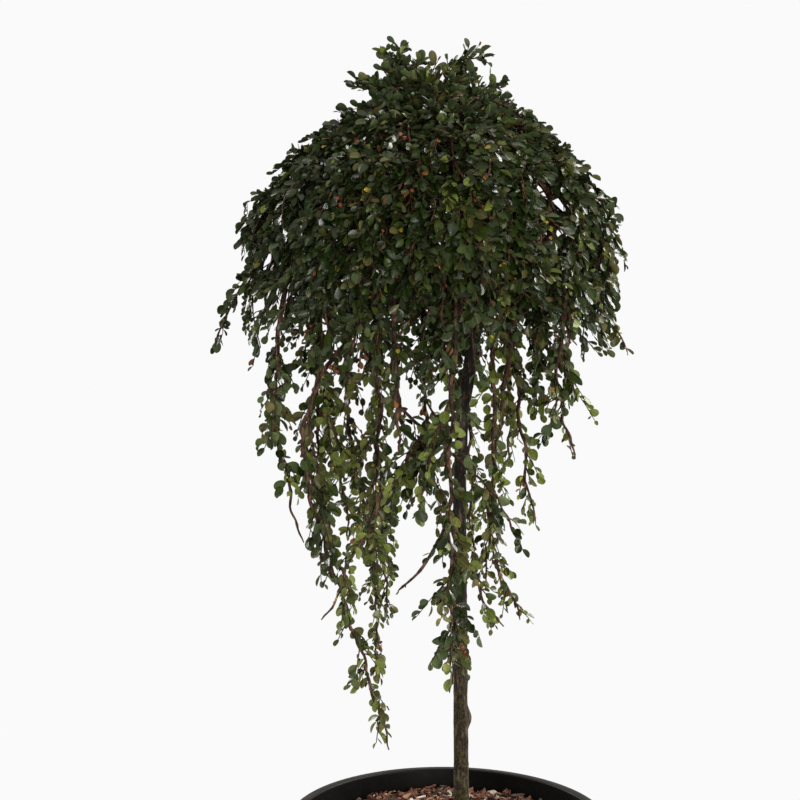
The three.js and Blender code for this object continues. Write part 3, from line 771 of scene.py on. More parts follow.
def side_twigs(foliage, line, random, spec, open_at, start, end):
    """Side twigs to the two sides of a shoot in turn, each with its leaves."""
    count = max(1, int((end - start) * length_of(line) / spec["spacing"]))
    order = np.arange(count)
    share = start + (end - start) * (order + drawn(random, 0.25, 0.75, count)) / count
    place, along = at(line, share)
    way_out = open_at(place, order)
    side = unit(np.cross(along, way_out))
    swing = np.where(order % 2, 1, -1) * drawn(random, 0.5, 1.1, count)
    raised = spec["lift"] + drawn(random, -0.35, 0.35, count)
    ahead = drawn(random, 0.75, 1.05, count)
    heading = unit(along * ahead[:, None] + side * swing[:, None] + way_out * raised[:, None])
    reach = spec["reach"] * drawn(random, 0.42, 1.22, count) * (1 - spec["fade"] * share)
    bend = 0.16 * unit(random.normal(size=(count, 3))) - spec["droop"] * UP
    t = np.linspace(0, 1, TWIG_POINTS)[:, None]
    twigs = place[:, None] + reach[:, None, None] * (heading[:, None] * t + bend[:, None] * t**2)
    if "under" in spec:
        depth = drawn(random, *spec["under"], count)
        # A few twigs may stand out of the dome.
        depth = np.where(random.random(count) < 0.08, -3, depth)
        twigs = kept_under(twigs.reshape(-1, 3), np.repeat(depth, TWIG_POINTS)).reshape(twigs.shape)
    clear = outside_gaps(twigs.reshape(-1, 3)).reshape(count, TWIG_POINTS).all(axis=1)
    foliage.twigs.append(twigs[clear])
    for k, twig in enumerate(twigs[clear]):
        foliage.grow_leaves(twig, random, lambda p, i: open_at(p, i + 7 * k), *spec["leaves"])


def grow_shoot(foliage, line, random, limb, twigs, leaves):
    """A shoot with side twigs, and with leaves of its own."""
    foliage.limbs.append((line, *limb))
    side_twigs(foliage, line, random, *twigs)
    foliage.grow_leaves(line, random, *leaves)


# Wood that repeats the source's limbs


def stem_radius_at(height):
    above = height - SOIL_HEIGHT
    taper = (STEM_NECK_RADIUS - STEM_FOOT_RADIUS) * above / (HEAD_HEIGHT - SOIL_HEIGHT)
    flare = STEM_FLARE * np.exp(-above / STEM_FLARE_HEIGHT)
    swelling = (STEM_HEAD_RADIUS - STEM_NECK_RADIUS) * bell(height - HEAD_HEIGHT, STEM_HEAD_LENGTH)
    return STEM_FOOT_RADIUS + taper + flare + swelling


def make_stem():
    """Stem with its root flare, graft head, knots, leaf scars and long shallow fissures."""
    sides = 48
    line = spline(np.array([(x, 0.0, z) for x, z in STEM_PLACES]), 2.2)
    height = line[:, 2:]
    spokes = spokes_round(*axes_along(line), sides)
    size = stem_radius_at(height) * np.ones(sides)
    skin = line[:, None] + spokes * size[..., None]
    fissures = uneven(skin * [1, 1, 0.18], 1.7, 1) * 0.3
    ridges = uneven(skin * [1, 1, 0.35], 4.2, 2) * 0.45
    grain = uneven(skin, 0.9, 3) * 0.1
    size = size + (fissures + ridges + grain).reshape(size.shape)
    size = size + 2.6 * bell(height - 793, 24) * uneven(skin, 9, 4).reshape(size.shape)
    for level, azimuth, radius in KNOTS:
        centre = around(math.radians(azimuth), STEM_FOOT_RADIUS - 0.35 * radius, level, 11.5)
        near = np.exp(-1.3 * (np.linalg.norm((skin - centre) / [1, 1, 1.7], axis=-1) / radius) ** 2)
        size = size + 0.8 * radius * near * (0.55 + 0.45 * np.sign(near - 0.1))
    for level in np.arange(232, 780, 37):
        facing = np.cos(np.arange(sides) / sides * TURN - level)
        size = size + 0.3 * bell(height - level, 2.2) * (1 + facing)
    shape = Shape()
    shape.add_tube(line[:, None] + spokes * size[..., None])
    shape.make("stem_bark", [stem_bark_material()], "stem_bark", ["stem"])


def tapered(line, thick, thin, collar=0.0, hold=1.0, buds=0.1):
    """Radii that thin to the tip, with a collar at the foot and swellings at the buds."""
    travelled = np.linspace(0, length_of(line), len(line))
    even = thin + (thick - thin) * (1 - travelled / travelled[-1]) ** hold
    swelling = buds * np.maximum(0, np.cos(travelled / 9.5 * TURN)) ** 4
    return even * (1 + swelling) + collar * np.exp(-travelled / 6)


def add_bough(wood, line, thick, thin, collar, seed):
    add_limb(wood, line, tapered(line, thick, thin, collar), BOUGH_SIDES, 0.16, 3.5, seed)
    return line


def socket(azimuth, height):
    return around(azimuth, 0.55 * STEM_HEAD_RADIUS, height, HEAD_X)


def shared_sockets():
    """Start of each long bough: even steps round the head in each tier, turned to suit the boughs."""
    sockets = {}
    azimuths = {name: path[0][0] for name, path in HANGING_SHOOTS.items()}
    lowest = 0
    for reach, height in BOUGH_TIERS:
        members = [name for name, path in HANGING_SHOOTS.items() if lowest <= path[0][1] < reach]
        members.sort(key=azimuths.get)
        step = TURN / len(members)
        first = sum(math.radians(azimuths[name]) - i * step for i, name in enumerate(members)) / len(members)
        for i, name in enumerate(members):
            sockets[name] = socket(first + i * step, height)
        lowest = reach
    return sockets


def grow_long_boughs(wood):
    """Boughs from the head to the shoulders of the hanging shoots."""
    sockets = shared_sockets()
    boughs = []
    for name, path in HANGING_SHOOTS.items():
        start = sockets[name]
        places = places_at(path)
        shoulder = places[0]
        hang = spline(places)
        heading = unit(hang[1] - hang[0])
        away = unit((start - [HEAD_X, 0, start[2]]) * [1, 1, 0])
        reach = np.linalg.norm(shoulder - start)
        line = bezier(start, start + 26 * away + 30 * UP, shoulder - 0.4 * reach * heading, shoulder)
        boughs.append(add_bough(wood, line, 3.2, 2.2, 1.2, len(boughs)))
    return boughs


def grow_dome_boughs(wood):
    """Short boughs from the head to the inside of each sector of the dome."""
    boughs = []
    for i in range(SECTORS):
        azimuth = (i + 0.5) / SECTORS * TURN
        away = outward(azimuth)
        start = socket(azimuth, 802)
        inner = dome_radius_at(ENTRY_HEIGHT) - CORE_DEPTH - lump_at(azimuth, ENTRY_HEIGHT)
        entry = around(azimuth, inner - 8, ENTRY_HEIGHT)
        arrive = unit(away + 0.35 * UP)
        line = bezier(start, start + 8 * away + 16 * UP, entry - 10 * arrive, entry)
        line = np.vstack([line, entry + arrive * np.linspace(3, 20, 6)[:, None]])
        boughs.append(add_bough(wood, resampled(line, 3), 3.4, 2.4, 1.2, 30 + i))
    return boughs


def grow_leader(wood):
    bottom = np.array([7.0, 0.0, 806.0])
    line = bezier(bottom, bottom + 22 * UP, CROWN_TOP - 20 * UP, CROWN_TOP)
    return add_bough(wood, line, 4.2, 2.0, 0.8, 50)


# Foliage of the dome

FINE_SHOOTS = 124
# Shoots that start above the first height start at the leader. Leaves above the second are raised.
LEADER_FROM = 852
RAISED_FROM = 800
CROWN_LEAF = (10.1, 0.57)
# Of twigs: the depths under the dome that they keep, and the size, spacing, lift and start of their leaves.
CROWN_TWIG = {
    "spacing": 10.5, "lift": 0.35, "reach": 38, "fade": 0.35, "droop": 0.2, "under": (4, 21),
    "leaves": (CROWN_LEAF, 3.6, 0.3, 0.12),
}
SPIKE_TWIG = {
    **CROWN_TWIG, "spacing": 3.6, "reach": 17, "under": (-42, -34), "leaves": (CROWN_LEAF, 3.6, 0.45, 0.12),
}
TUFT_TWIG = {**SPIKE_TWIG, "spacing": 4.5, "under": (-22, -8)}
CROWN_TINTS = [0.72, 0.2, 0.058, 0.01, 0.003, 0.009]
# Tints of the dome's left half, darker as painted shade, and of its right half and top, lighter as painted
# light.
PAINTED_SHADE_TINTS = [0.88, 0.09, 0.016, 0.004, 0.002, 0.008]
PAINTED_LIGHT_TINTS = [0.55, 0.3, 0.105, 0.025, 0.008, 0.012]


def primary_shoots(boughs):
    """The source's three shoots in each sector, from the sector's bough down to the fringe."""
    shoots = []
    width = TURN / SECTORS
    for i, bough in enumerate(boughs):
        draw = seeded(40 + i)
        for k in range(3):
            azimuth = i * width + (k + 0.5 + 0.3 * (draw() - 0.5)) / 3 * width
            turn = 0.12 * (draw() - 0.5)
            travel = travel_between(846, 646 + 34 * (draw() - 0.4))
            places = on_dome(azimuth + turn * np.linspace(0, 1, 9), travel, SHOOT_DEPTH + 4)
            shoots.append(parted(smoothed_path(bough[-6:], places), 0.0))
    return shoots


def fine_shoot(k, primaries, leader):
    """One more shoot over the dome. It starts at the top or forks from the nearest of the main ones."""
    random = default_rng(500 + k)
    left = 0.94 * (1 - (k + 0.5) / FINE_SHOOTS)
    start = DOME_WIDE_HEIGHT + (DOME_TOP_HEIGHT - DOME_WIDE_HEIGHT) * left ** (1 / DOME_FULLNESS)
    azimuth = (k * LEAF_TURN + drawn(random, -0.2, 0.2)) % TURN
    turn = drawn(random, -0.25, 0.25)
    depth = 20 + 30 * random.random() ** 1.5
    travel = travel_between(start, 706 - 46 * random.random() ** 1.3)
    along = np.linspace(0, 1, 9)
    wander = 5 * np.sin(along * 9 + TURN * random.random())
    sway = 0.06 * np.sin(along * 11 + TURN * random.random())
    places = on_dome(azimuth + turn * along + sway, travel, depth + wander)
    parent = leader[-4:]
    if start <= LEADER_FROM:
        tops = np.array([line[len(line) // 4] for line in primaries])
        gap = np.abs(np.angle(np.exp(1j * (azimuth_of(tops) - azimuth))))
        parent = primaries[int(np.argmin(gap))]
    return parted(smoothed_path(parent, places), drawn(random, -2, 2))


def grow_dome(foliage, shoots):
    """Twigs and leaves along the dome's shoots. Leaves on the dome's left half get darker tints as painted
    shade, those on its right half lighter tints as painted light.
    """
    for k, line in enumerate(shoots):
        foliage.tints = PAINTED_LIGHT_TINTS if line[:, 0].mean() > 0 else PAINTED_SHADE_TINTS
        twigs = (CROWN_TWIG, dome_side, 0.05, 0.97)
        leaves = (dome_side, CROWN_LEAF, 9, 0.45, 0.08)
        grow_shoot(foliage, line, default_rng(1000 + k), (1.5, 0.45, 1.0), twigs, leaves)


def lay_under(foliage):
    """Raises leaves near the top, and turns those whose tips stand out of the dome back to its surface."""
    random = default_rng(71)
    leaves = gathered(foliage.sprays)
    count = len(leaves["length"])
    raised = np.clip((leaves["place"][:, 2] - RAISED_FROM) / 50, 0, 1) * random.random(count)
    heading = unit(unit(leaves["direction"]) + 1.2 * raised[:, None] * UP)
    tips = leaves["place"] + heading * leaves["length"][:, None]
    depth = drawn(random, -5, 3, count) - 7 * raised
    # A few leaves may stand further out.
    depth = np.where(random.random(count) < 0.06, -11, depth)
    leaves["direction"] = kept_under(tips, depth) - leaves["place"]
    foliage.sprays = [leaves]


def grow_top(foliage, leader):
    """Spikes that stand up from the top, and tufts round them."""
    # The top gets the lighter tints, as painted light.
    foliage.tints = PAINTED_LIGHT_TINTS
    paths = [spline(np.array(path, float), 2.5) for path in SPIKES]
    for tip in np.array(TUFTS, float):
        begin = CROWN_TOP + 0.55 * (tip - CROWN_TOP)
        begin[2] = 850
        paths.append(bezier(begin, begin + 10 * UP, tip + 0.3 * (begin - tip) + 4 * UP, tip, 2.5))
    for k, path in enumerate(paths):
        line = smoothed_path(leader[-4:], path[::3], 2.5)
        twigs, size = (TUFT_TWIG, dome_side), (10.5, 0.54)
        if k < len(SPIKES):
            twigs, size = (SPIKE_TWIG, any_side(k)), (13, 0.66)
        leaves = (any_side(k), size, 3.2, 0.6, 0.35)
        grow_shoot(foliage, line, default_rng(900 + k), (1.3, 0.5, 1.0), (*twigs, 0.35, 1.0), leaves)


# Foliage of the hanging shoots

HANGING_LEAF = (10.2, 0.7)
HANGING_TWIG = {
    "spacing": 8.6, "lift": 0.3, "reach": 27, "fade": 0.62, "droop": 0.35,
    "leaves": (HANGING_LEAF, 4.6, 0.35, 0.24),
}
CURTAIN_LEAF = (10, 0.66)
CURTAIN_TWIG = {
    **HANGING_TWIG, "spacing": 11, "reach": 30, "fade": 0.3, "leaves": (CURTAIN_LEAF, 4.6, 0.35, 0.24),
}
# What differs on the lower part of a long strand: of the front middle one, and of the others.
BUSHY_TWIG = {"spacing": 4.5, "reach": 36, "fade": 0.25, "leaves": (HANGING_LEAF, 3.9, 0.35, 0.24)}
LOWER_TWIG = {"spacing": 5.6, "reach": 33, "fade": 0.66, "leaves": ((8.8, 0.62), 3.9, 0.35, 0.24)}
# Spacing, reach, fade and droop of the twigs on single strands, where they aren't those of a hanging twig.
STRAND_TWIGS = {
    "left_outer": (6, 24, 0.2),
    "left_long": (7.5, 33, 0.2),
    "left_back_long": (6, 33, 0.25),
    "left_middle": (6, 34, 0.25),
    "inner_left": (8.5, 29, 0.25),
    "front_left": (8.6, 31, 0.35),
    "front_short": (12, 19),
    "back": (10, 22),
    "back_left": (9.5, 25),
    "right_back": (10, 22),
    "right_inner": (10, 19),
    "right_long": (9.5, 23),
    "right_front": (6.5, 35, 0.3),
    "right_outer": (6.5, 33, 0.3),
    "low": (6, 38, 0.4, 0.7),
}
# Tints of strands at the front, darker as painted shade, and of those at the back and of lower parts, paler
# as painted light shining through the leaves.
PAINTED_SHADE_FRONT_TINTS = [0.42, 0.32, 0.16, 0.08, 0.01, 0.01]
PAINTED_BACKLIGHT_TINTS = [0.0, 0.12, 0.28, 0.58, 0.01, 0.01]
PALE_TINTS = [0.0, 0.16, 0.3, 0.5, 0.02, 0.02]
PALE_HEIGHT = 440
CURTAIN_SHOOTS = 42
# Shares of a strand's length at which its leaves end and begin.
BARE_TIPS = {"left_outer": 0.74, "left_long": 0.95, "front_centre": 0.93, "right_outer": 0.72, "low": 0.9}
BARE_STARTS = {"left_outer": 0.3, "left_long": 0.3, "front_left": 0.4}
FRINGE_SPRIGS = [
    [(-168, -20, 704), (-186, -22, 672), (-196, -24, 650), (-202, -24, 634)],
    [(124, -10, 676), (138, -12, 660), (149, -14, 644), (155, -14, 630)],
]


def side_strand(foliage, line, random, turn):
    """A thin shoot that leaves a long strand and hangs beside it."""
    share = drawn(random, 0.08, 0.46)
    begin, way = at(line, share)
    away = outward(turn + random.random())
    below, _ = at(line, min(0.9, share + drawn(random, 0.3, 0.5)))
    end = below + drawn(random, 10, 24) * away
    path = bezier(begin, begin + 12 * way + 8 * away, end + 20 * UP, end, 4)
    twigs = ({**HANGING_TWIG, "reach": 18}, any_side(turn), 0.1, 0.95)
    leaves = (any_side(turn + 1), HANGING_LEAF, 6, 0.4, 0.1)
    grow_shoot(foliage, path, random, (1.1, 0.4, 0.6), twigs, leaves)


def grow_strand(foliage, name, line, random, thick, turn, start=0.02):
    """A hanging shoot that keeps its thickness to near the tip. Shoots at the front get darker leaves as
    painted shade, shoots at the back paler ones as painted light shining through them.
    """
    foliage.tints = PAINTED_SHADE_FRONT_TINTS if line[:, 1].mean() < -30 else PAINTED_BACKLIGHT_TINTS
    line = wavering(line, random, 1.6, 55)
    foliage.limbs.append((line, thick, 0.5, 0.55))
    end = BARE_TIPS.get(name, 0.97)
    lower_from = 0.55 if line[-1, 2] < PALE_HEIGHT else end
    own = dict(zip(("spacing", "reach", "fade", "droop"), STRAND_TWIGS.get(name, ())))
    spec = {**HANGING_TWIG, **own}
    side_twigs(foliage, line, random, spec, any_side(turn), start, lower_from)
    if lower_from < end:
        bushy = name == "front_centre"
        # Lower parts get paler leaves as painted light shining through, but for the front middle one, whose
        # leaves stay darker as painted shade.
        foliage.tints = PAINTED_SHADE_FRONT_TINTS if bushy else PALE_TINTS
        spec = {**spec, **(BUSHY_TWIG if bushy else LOWER_TWIG)}
        side_twigs(foliage, line, random, spec, any_side(turn), lower_from, end)
    leafy = line[: int(len(line) * end)]
    foliage.grow_leaves(leafy, random, any_side(turn + 2), HANGING_LEAF, 12, 0.4, start)
    # The long strands on the left have one more shoot at their side, but for the outermost one.
    if length_of(line) > 150 and line[-1, 0] < 20 and name != "left_outer":
        side_strand(foliage, line, random, turn)


def grow_fork(foliage, name, line, random, turn):
    """The fork of a hanging shoot. That of the front middle one is bare but for its tip."""
    share, places = FORKS[name]
    begin, _ = at(line, share)
    path = spline(np.vstack([begin, places_at(places)]), 4)
    if name == "front_centre":
        foliage.limbs.append((path, 1.5, 0.7, 0.5))
        foliage.grow_leaves(path, random, any_side(0), (7, 0.4), 4, 0.5, 0.9)
    else:
        grow_strand(foliage, "fork", path, random, 1.4, turn)


def grow_hanging(foliage):
    """The source's hanging shoots and forks, the low shoot, and two sprigs that reach out of the fringe."""
    for index, (name, path) in enumerate(HANGING_SHOOTS.items()):
        random = default_rng(200 + index)
        line = spline(places_at(path), 4)
        grow_strand(foliage, name, line, random, 2.05, index, BARE_STARTS.get(name, 0.02))
        if name in FORKS:
            grow_fork(foliage, name, line, random, index + 1)
    low = spline(np.vstack([LOW_SHOOT_START, places_at(LOW_SHOOT)]), 4)
    grow_strand(foliage, "low", low, default_rng(293), 1.9, 1, 0.2)
    foliage.tints = CROWN_TINTS
    random = default_rng(296)
    for path in FRINGE_SPRIGS:
        line = spline(np.array(path, float), 4)
        twigs = ({**HANGING_TWIG, "reach": 11}, any_side(3), 0.05, 0.9)
        grow_shoot(foliage, line, random, (1.2, 0.4, 0.6), twigs, (any_side(1), (9.5, 0.6), 6, 0.4, 0.05))


def grow_curtain(foliage, parents):
    """Fine shoots that hang inside the fringe, each from the nearest bough or dome shoot."""
    foliage.tints = CROWN_TINTS
    for k in range(CURTAIN_SHOOTS):
        random = default_rng(300 + k)
        reach = 40 + 76 * math.sqrt(random.random())
        top = drawn(random, 692, 714)
        end = drawn(random, 596, 656)
        azimuths = k * LEAF_TURN + 0.12 * random.normal(size=3)
        sway = around(azimuths, reach + 5 * random.normal(size=3), [top, 0.6 * top + 0.4 * end, end])
        gaps = [np.linalg.norm(line - sway[0], axis=1).min() for line in parents]
        line = smoothed_path(parents[int(np.argmin(gaps))], sway)
        twigs = (CURTAIN_TWIG, any_side(k), 0.1, 0.97)
        leaves = (any_side(k + 1), CURTAIN_LEAF, 8, 0.4, 0.1)
        grow_shoot(foliage, line, random, (1.2, 0.45, 0.6), twigs, leaves)


# Making the foliage's pieces


def quadrant_of(points):
    """0 right back, 1 left back, 2 left front, 3 right front."""
    return (np.mod(azimuth_of(points), TURN) / (TURN / 4)).astype(int)


def make_leaves(foliage, title, parts, part_of):
    """One piece for each tint in each part. The first tint's piece stands for the part's nodes."""
    leaves = gathered(foliage.sprays)
    margin = drawn(default_rng(81), 0, GAP_MARGIN, len(leaves["length"]))
    middles = leaves["place"] + unit(leaves["direction"]) * (0.55 * leaves["length"])[:, None]
    clear = outside_gaps(middles, margin)
    part = part_of(leaves["place"])
    for number, (label, nodes) in enumerate(parts):
        for tint, (tint_name, materials) in enumerate(leaf_materials.items()):
            mine = clear & (part == number) & (leaves["tint"] == tint)
            shape = Shape()
            add_leaves(shape, {key: value[mine] for key, value in leaves.items()}, foliage.leaf)
            name = f"leaves_{title}{label}_{tint_name}"
            shape.make(name, materials, "leaf_green", nodes if tint == 0 else ())


def add_twigs(shape, twigs, thick, thin, sides):
    """Many short twigs at once, closed at both ends."""
    along = unit(np.gradient(twigs, axis=1))
    normal = unit(np.cross(along, [0.31, 0.57, 0.76]))
    spokes = spokes_round(normal, np.cross(along, normal), sides)
    radius = np.linspace(thick, thin, TWIG_POINTS)[:, None, None]
    for rings in twigs[:, :, None] + spokes * radius:
        shape.add_tube(rings)


def make_twigs(foliage, name, bark, sides, twig_sides, buds):
    shape = Shape()
    for k, (line, thick, thin, hold) in enumerate(foliage.limbs):
        add_limb(shape, line, tapered(line, thick, thin, 0.0, hold, buds), sides, 0.18, 2.5, k)
    add_twigs(shape, np.concatenate(foliage.twigs), 0.72, 0.35, twig_sides)
    shape.make(name, [bark], "shoot_bark")


# Pot and compost


def revolve(profile, sides):
    """Rings round the pot's axis, one for each radius and height of a profile."""
    radius, height = np.array(profile).T[..., None]
    return around(np.arange(sides) / sides * TURN, radius, height, 0.0)


def arc(x, y, radius, start, end, count):
    angle = np.radians(np.linspace(start, end, count))
    return list(zip(x + radius * np.cos(angle), y + radius * np.sin(angle)))


def pot_radius_at(height):
    return FOOT_RADIUS + (MOUTH_RADIUS - FOOT_RADIUS) * height / POT_HEIGHT


def pot_wall():
    """Outline of the wall from the foot, over the rolled rim and down the inside."""
    band_foot = POT_HEIGHT - RIM_BAND
    outline = arc(FOOT_RADIUS - 2, 2, 2, -90, 0, 6)
    outline += [(pot_radius_at(z), z) for z in np.linspace(6, band_foot - 1, 30)]
    outline += arc(RIM_RADIUS - 1.5, band_foot + 1.5, 1.5, -90, 0, 6)
    outline += [(RIM_RADIUS, z) for z in np.linspace(band_foot + 3, POT_HEIGHT - 3, 4)]
    outline += arc(RIM_RADIUS - 2.2, POT_HEIGHT - 2.2, 2.2, 0, 90, 7)
    outline += arc(MOUTH_RADIUS - WALL + 2, POT_HEIGHT - 2, 2, 90, 180, 7)
    outline += [(pot_radius_at(z) - WALL, z) for z in np.linspace(POT_HEIGHT - 8, 12, 24)]
    outline += arc(pot_radius_at(FLOOR) - WALL - 3, FLOOR + 3, 3, 0, -90, 5)
    return outline


def drain_cutter():
    """Round rods through the pot's floor, one for each drain hole."""
    drill = Shape()
    circle = revolve([(DRAIN_RADIUS, -5.0), (DRAIN_RADIUS, 8.0)], 20)
    for i in range(DRAINS):
        drill.add_tube(circle + around((i + 0.5) / DRAINS * TURN, DRAIN_RING, 0.0, 0.0))
    return drill.make("drain_cutter", [])


def make_pot():
    """Pot of one moulding, with drain holes through its floor."""
    wall = pot_wall()
    under = [(r, 0.0) for r in np.linspace(1.0, wall[0][0] - 2, 8)]
    inside = [(r, FLOOR) for r in np.linspace(wall[-1][0] - 3, 1.0, 8)]
    rings = revolve(under + wall + inside, 144)
    rings[..., :2] *= 1 + 0.0012 * uneven(rings, 90, 6).reshape(*rings.shape[:2], 1)
    shape = Shape()
    shape.add_tube(rings)
    pot = shape.make("pot_shell", [pot_material()], "pot_plastic", ["pot"])
    cutter = drain_cutter()
    cut = pot.modifiers.new("drains", "BOOLEAN")
    cut.operation = "DIFFERENCE"
    cut.object = cutter
    cut.solver = "EXACT"
    bpy.context.view_layer.update()
    evaluated = pot.evaluated_get(bpy.context.evaluated_depsgraph_get())
    mesh = bpy.data.meshes.new_from_object(evaluated)
    pot.modifiers.clear()
    pot.data = mesh
    bpy.data.objects.remove(cutter)


def bed_height(points):
    """Height of the compost's uneven top, a little banked up to the wall."""
    reach = np.hypot(points[..., 0], points[..., 1])
    lumps = 2.4 * uneven(points * [1, 1, 0], 26, 7) + 1.3 * uneven(points * [1, 1, 0], 9, 8)
    return SOIL_HEIGHT - 0.5 + lumps.reshape(reach.shape) + 1.5 * (reach / BED_RADIUS) ** 4


def make_compost():
    """Dark compost under the bark, from wall to wall."""
    top = SOIL_HEIGHT - 3
    profile = [(r, FLOOR + 0.3) for r in np.linspace(1, pot_radius_at(FLOOR) - WALL - 3.5, 6)]
    profile += [(pot_radius_at(z) - WALL - 0.6, z) for z in np.linspace(8, top, 12)]
    surface = len(profile)
    profile += [(r, top) for r in np.linspace(pot_radius_at(top) - WALL - 0.8, 1, 52)]
    rings = revolve(profile, 120)
    crumbs = rings[surface:]
    crumbs[..., 2] = bed_height(crumbs) + 0.8 * uneven(crumbs, 3.2, 9).reshape(crumbs.shape[:2])
    shape = Shape()
    shape.add_tube(rings)
    bark = bark_chip_material("compost_crumb", (0.01, 0.006, 0.004), (0.03, 0.016, 0.01), (0.07, 0.035, 0.02))
    shape.make("compost_bed", [bark], "compost_bark", ["compost"])


CHIPS = 2600
CHIP_REACH = 126
STEM_CLEARANCE = 7.5
CHIP_CORNERS = [0.0, 0.7, 2.3, 3.14, 3.9, 5.4]
# Share of each kind of chip, and its dark, middle and light colours.
CHIP_KINDS = {
    "red": (0.5, (0.035, 0.011, 0.006), (0.12, 0.035, 0.016), (0.27, 0.105, 0.05)),
    "dark": (0.24, (0.012, 0.007, 0.005), (0.04, 0.02, 0.013), (0.1, 0.055, 0.034)),
    "tan": (0.19, (0.09, 0.038, 0.018), (0.24, 0.12, 0.062), (0.42, 0.25, 0.14)),
    "pale": (0.07, (0.25, 0.2, 0.16), (0.46, 0.4, 0.34), (0.68, 0.62, 0.55)),
}


def chip_rings(random):
    """A torn flake of bark with six irregular corners below and above, a little curled."""
    length = 4.5 + 9.5 * random.random() ** 1.6
    width = length * drawn(random, 0.22, 0.62)
    thick = drawn(random, 0.5, 2)
    angle = CHIP_CORNERS + 0.35 * random.normal(size=6)
    spread = drawn(random, 0.75, 1.15, 6)
    flat = 0.5 * spread * [length * np.cos(angle), width * np.sin(angle)]
    upper = np.stack([*flat, np.full(6, thick / 2)], axis=-1)
    lower = upper * [0.9, 0.85, -1] + [0.6 * random.normal(), 0.3 * random.normal(), 0]
    rings = np.stack([lower, upper])
    rings[..., 2] += drawn(random, -0.3, 0.6) * (rings[..., 0] / length) ** 2 * length * 0.5
    return rings


def random_turn(random):
    """A random heading and a modest tilt."""
    heading = TURN * random.random()
    tilt, roll = 0.42 * random.normal(), 0.42 * random.normal()
    turn = Matrix.Rotation(heading, 3, "Z") @ Matrix.Rotation(tilt, 3, "Y") @ Matrix.Rotation(roll, 3, "X")
    return np.array(turn)


def make_chips():
    """Bark chips over the compost, in four colours."""
    random = default_rng(21)
    shapes = {name: Shape() for name in CHIP_KINDS}
    shares = [kind[0] for kind in CHIP_KINDS.values()]
    stem_x, _ = STEM_PLACES[0]
    for k in range(CHIPS):
        reach = CHIP_REACH * math.sqrt((k + random.random()) / CHIPS)
        place = around(k * LEAF_TURN + 0.2 * random.normal(), reach, 0.0, 0.0)
        rings = chip_rings(random) @ random_turn(random).T
        name = random.choice(list(CHIP_KINDS), p=shares)
        place[2] = bed_height(place[None])[0] + 4.5 * random.random() ** 1.5
        rings = rings + place
        beyond_wall = np.hypot(rings[..., 0], rings[..., 1]).max() > BED_RADIUS
        in_stem = np.hypot(rings[..., 0] - stem_x, rings[..., 1]).min() < STEM_CLEARANCE
        if not beyond_wall and not in_stem:
            shapes[name].add_tube(rings)
    for name, shape in shapes.items():
        bark = bark_chip_material(f"bark_{name}", *CHIP_KINDS[name][1:])
        shape.make(f"bark_chips_{name}", [bark], "compost_bark", smooth=False)


# Berries

# Places of berries in the frame, with their number, and how far from there they may stand in pixels.
BERRY_PLACES = [(345, 198, 4), (405, 135, 4), (337, 365, 2), (309, 392, 3), (354, 406, 3), (462, 646, 2)]
BERRY_SPREAD = 7
HIDDEN_BERRIES = 22
STALK_LENGTH = 3.2


def berry_shape():
    """A small oval pome with a dimple at its end, about one unit wide: its points and groups of faces."""
    rings, sides = 7, 10
    angle = math.pi * np.arange(1, rings + 1) / (rings + 1)
    height = 0.55 - 0.55 * np.cos(angle) - 0.12 * np.maximum(0, -np.cos(angle)) ** 6
    body = revolve(np.stack([0.5 * np.sin(angle) ** 0.9, height], axis=-1), sides).reshape(-1, 3)
    ring = np.arange(sides)
    ahead = np.roll(ring, -1)
    last = len(body) - sides
    foot = np.stack([np.full(sides, len(body)), ahead, ring], axis=-1)
    end = np.stack([np.full(sides, len(body) + 1), last + ring, last + ahead], axis=-1)
    return np.vstack([body, [0, 0, 0], [0, 0, 0.9]]), [tube_faces(rings, sides), foot, end]


def berry_seats(places, random):
    """Leaves at which berries stand: the foremost at each place in the frame, and some at the back."""
    across, down = frame_place(places)
    seats = []
    for x, y, count in BERRY_PLACES:
        near = np.flatnonzero(np.hypot(across - x, down - y) < BERRY_SPREAD)
        seats += list(near[np.argsort(places[near, 1])[:count]])
    hidden = np.flatnonzero(places[:, 1] > 20)
    return seats + list(random.choice(hidden, HIDDEN_BERRIES, replace=False))


def make_berries(leaves, bark):
    """Berries on short stalks, where twigs carry leaves."""
    random = default_rng(61)
    points, groups = berry_shape()
    fruit, stalks = Shape(), Shape()
    for seat in berry_seats(leaves["place"], random):
        origin = leaves["place"][seat]
        way = unit(unit(leaves["direction"][seat]) + 0.7 * unit(leaves["face"][seat]) - 0.5 * UP)
        add_limb(stalks, origin + way * np.linspace(0, STALK_LENGTH, 4)[:, None], np.full(4, 0.3), 5)
        across = unit(np.cross(way, [0.3, 0.5, 0.8]))
        turned = points @ np.array([across, np.cross(way, across), way])
        fruit.add(origin + 3.0 * way + drawn(random, 3.2, 4.1) * turned, groups)
    fruit.make("berries", [berry_material()])
    stalks.make("berry_stalks", [bark], "shoot_bark")


# Floor, light and camera


def make_floor():
    count, sides = 20, 96
    rings = revolve([(r, -0.4) for r in np.linspace(620, 2, count)], sides)
    middle = np.arange(sides) + (count - 1) * sides
    shape = Shape()
    shape.add(rings.reshape(-1, 3), [tube_faces(count, sides), [middle]])
    placed("floor", shape.mesh("floor", [floor_material()]))


def add_soft_light(name, place, aim, width, power, color=(1, 1, 1)):
    light = bpy.data.lights.new(name, "AREA")
    light.shape = "DISK"
    light.size = width
    light.energy = power
    light.color = color
    made = placed(name, light)
    made.location = place
    made.rotation_euler = (Vector(aim) - Vector(place)).to_track_quat("-Z", "Y").to_euler()


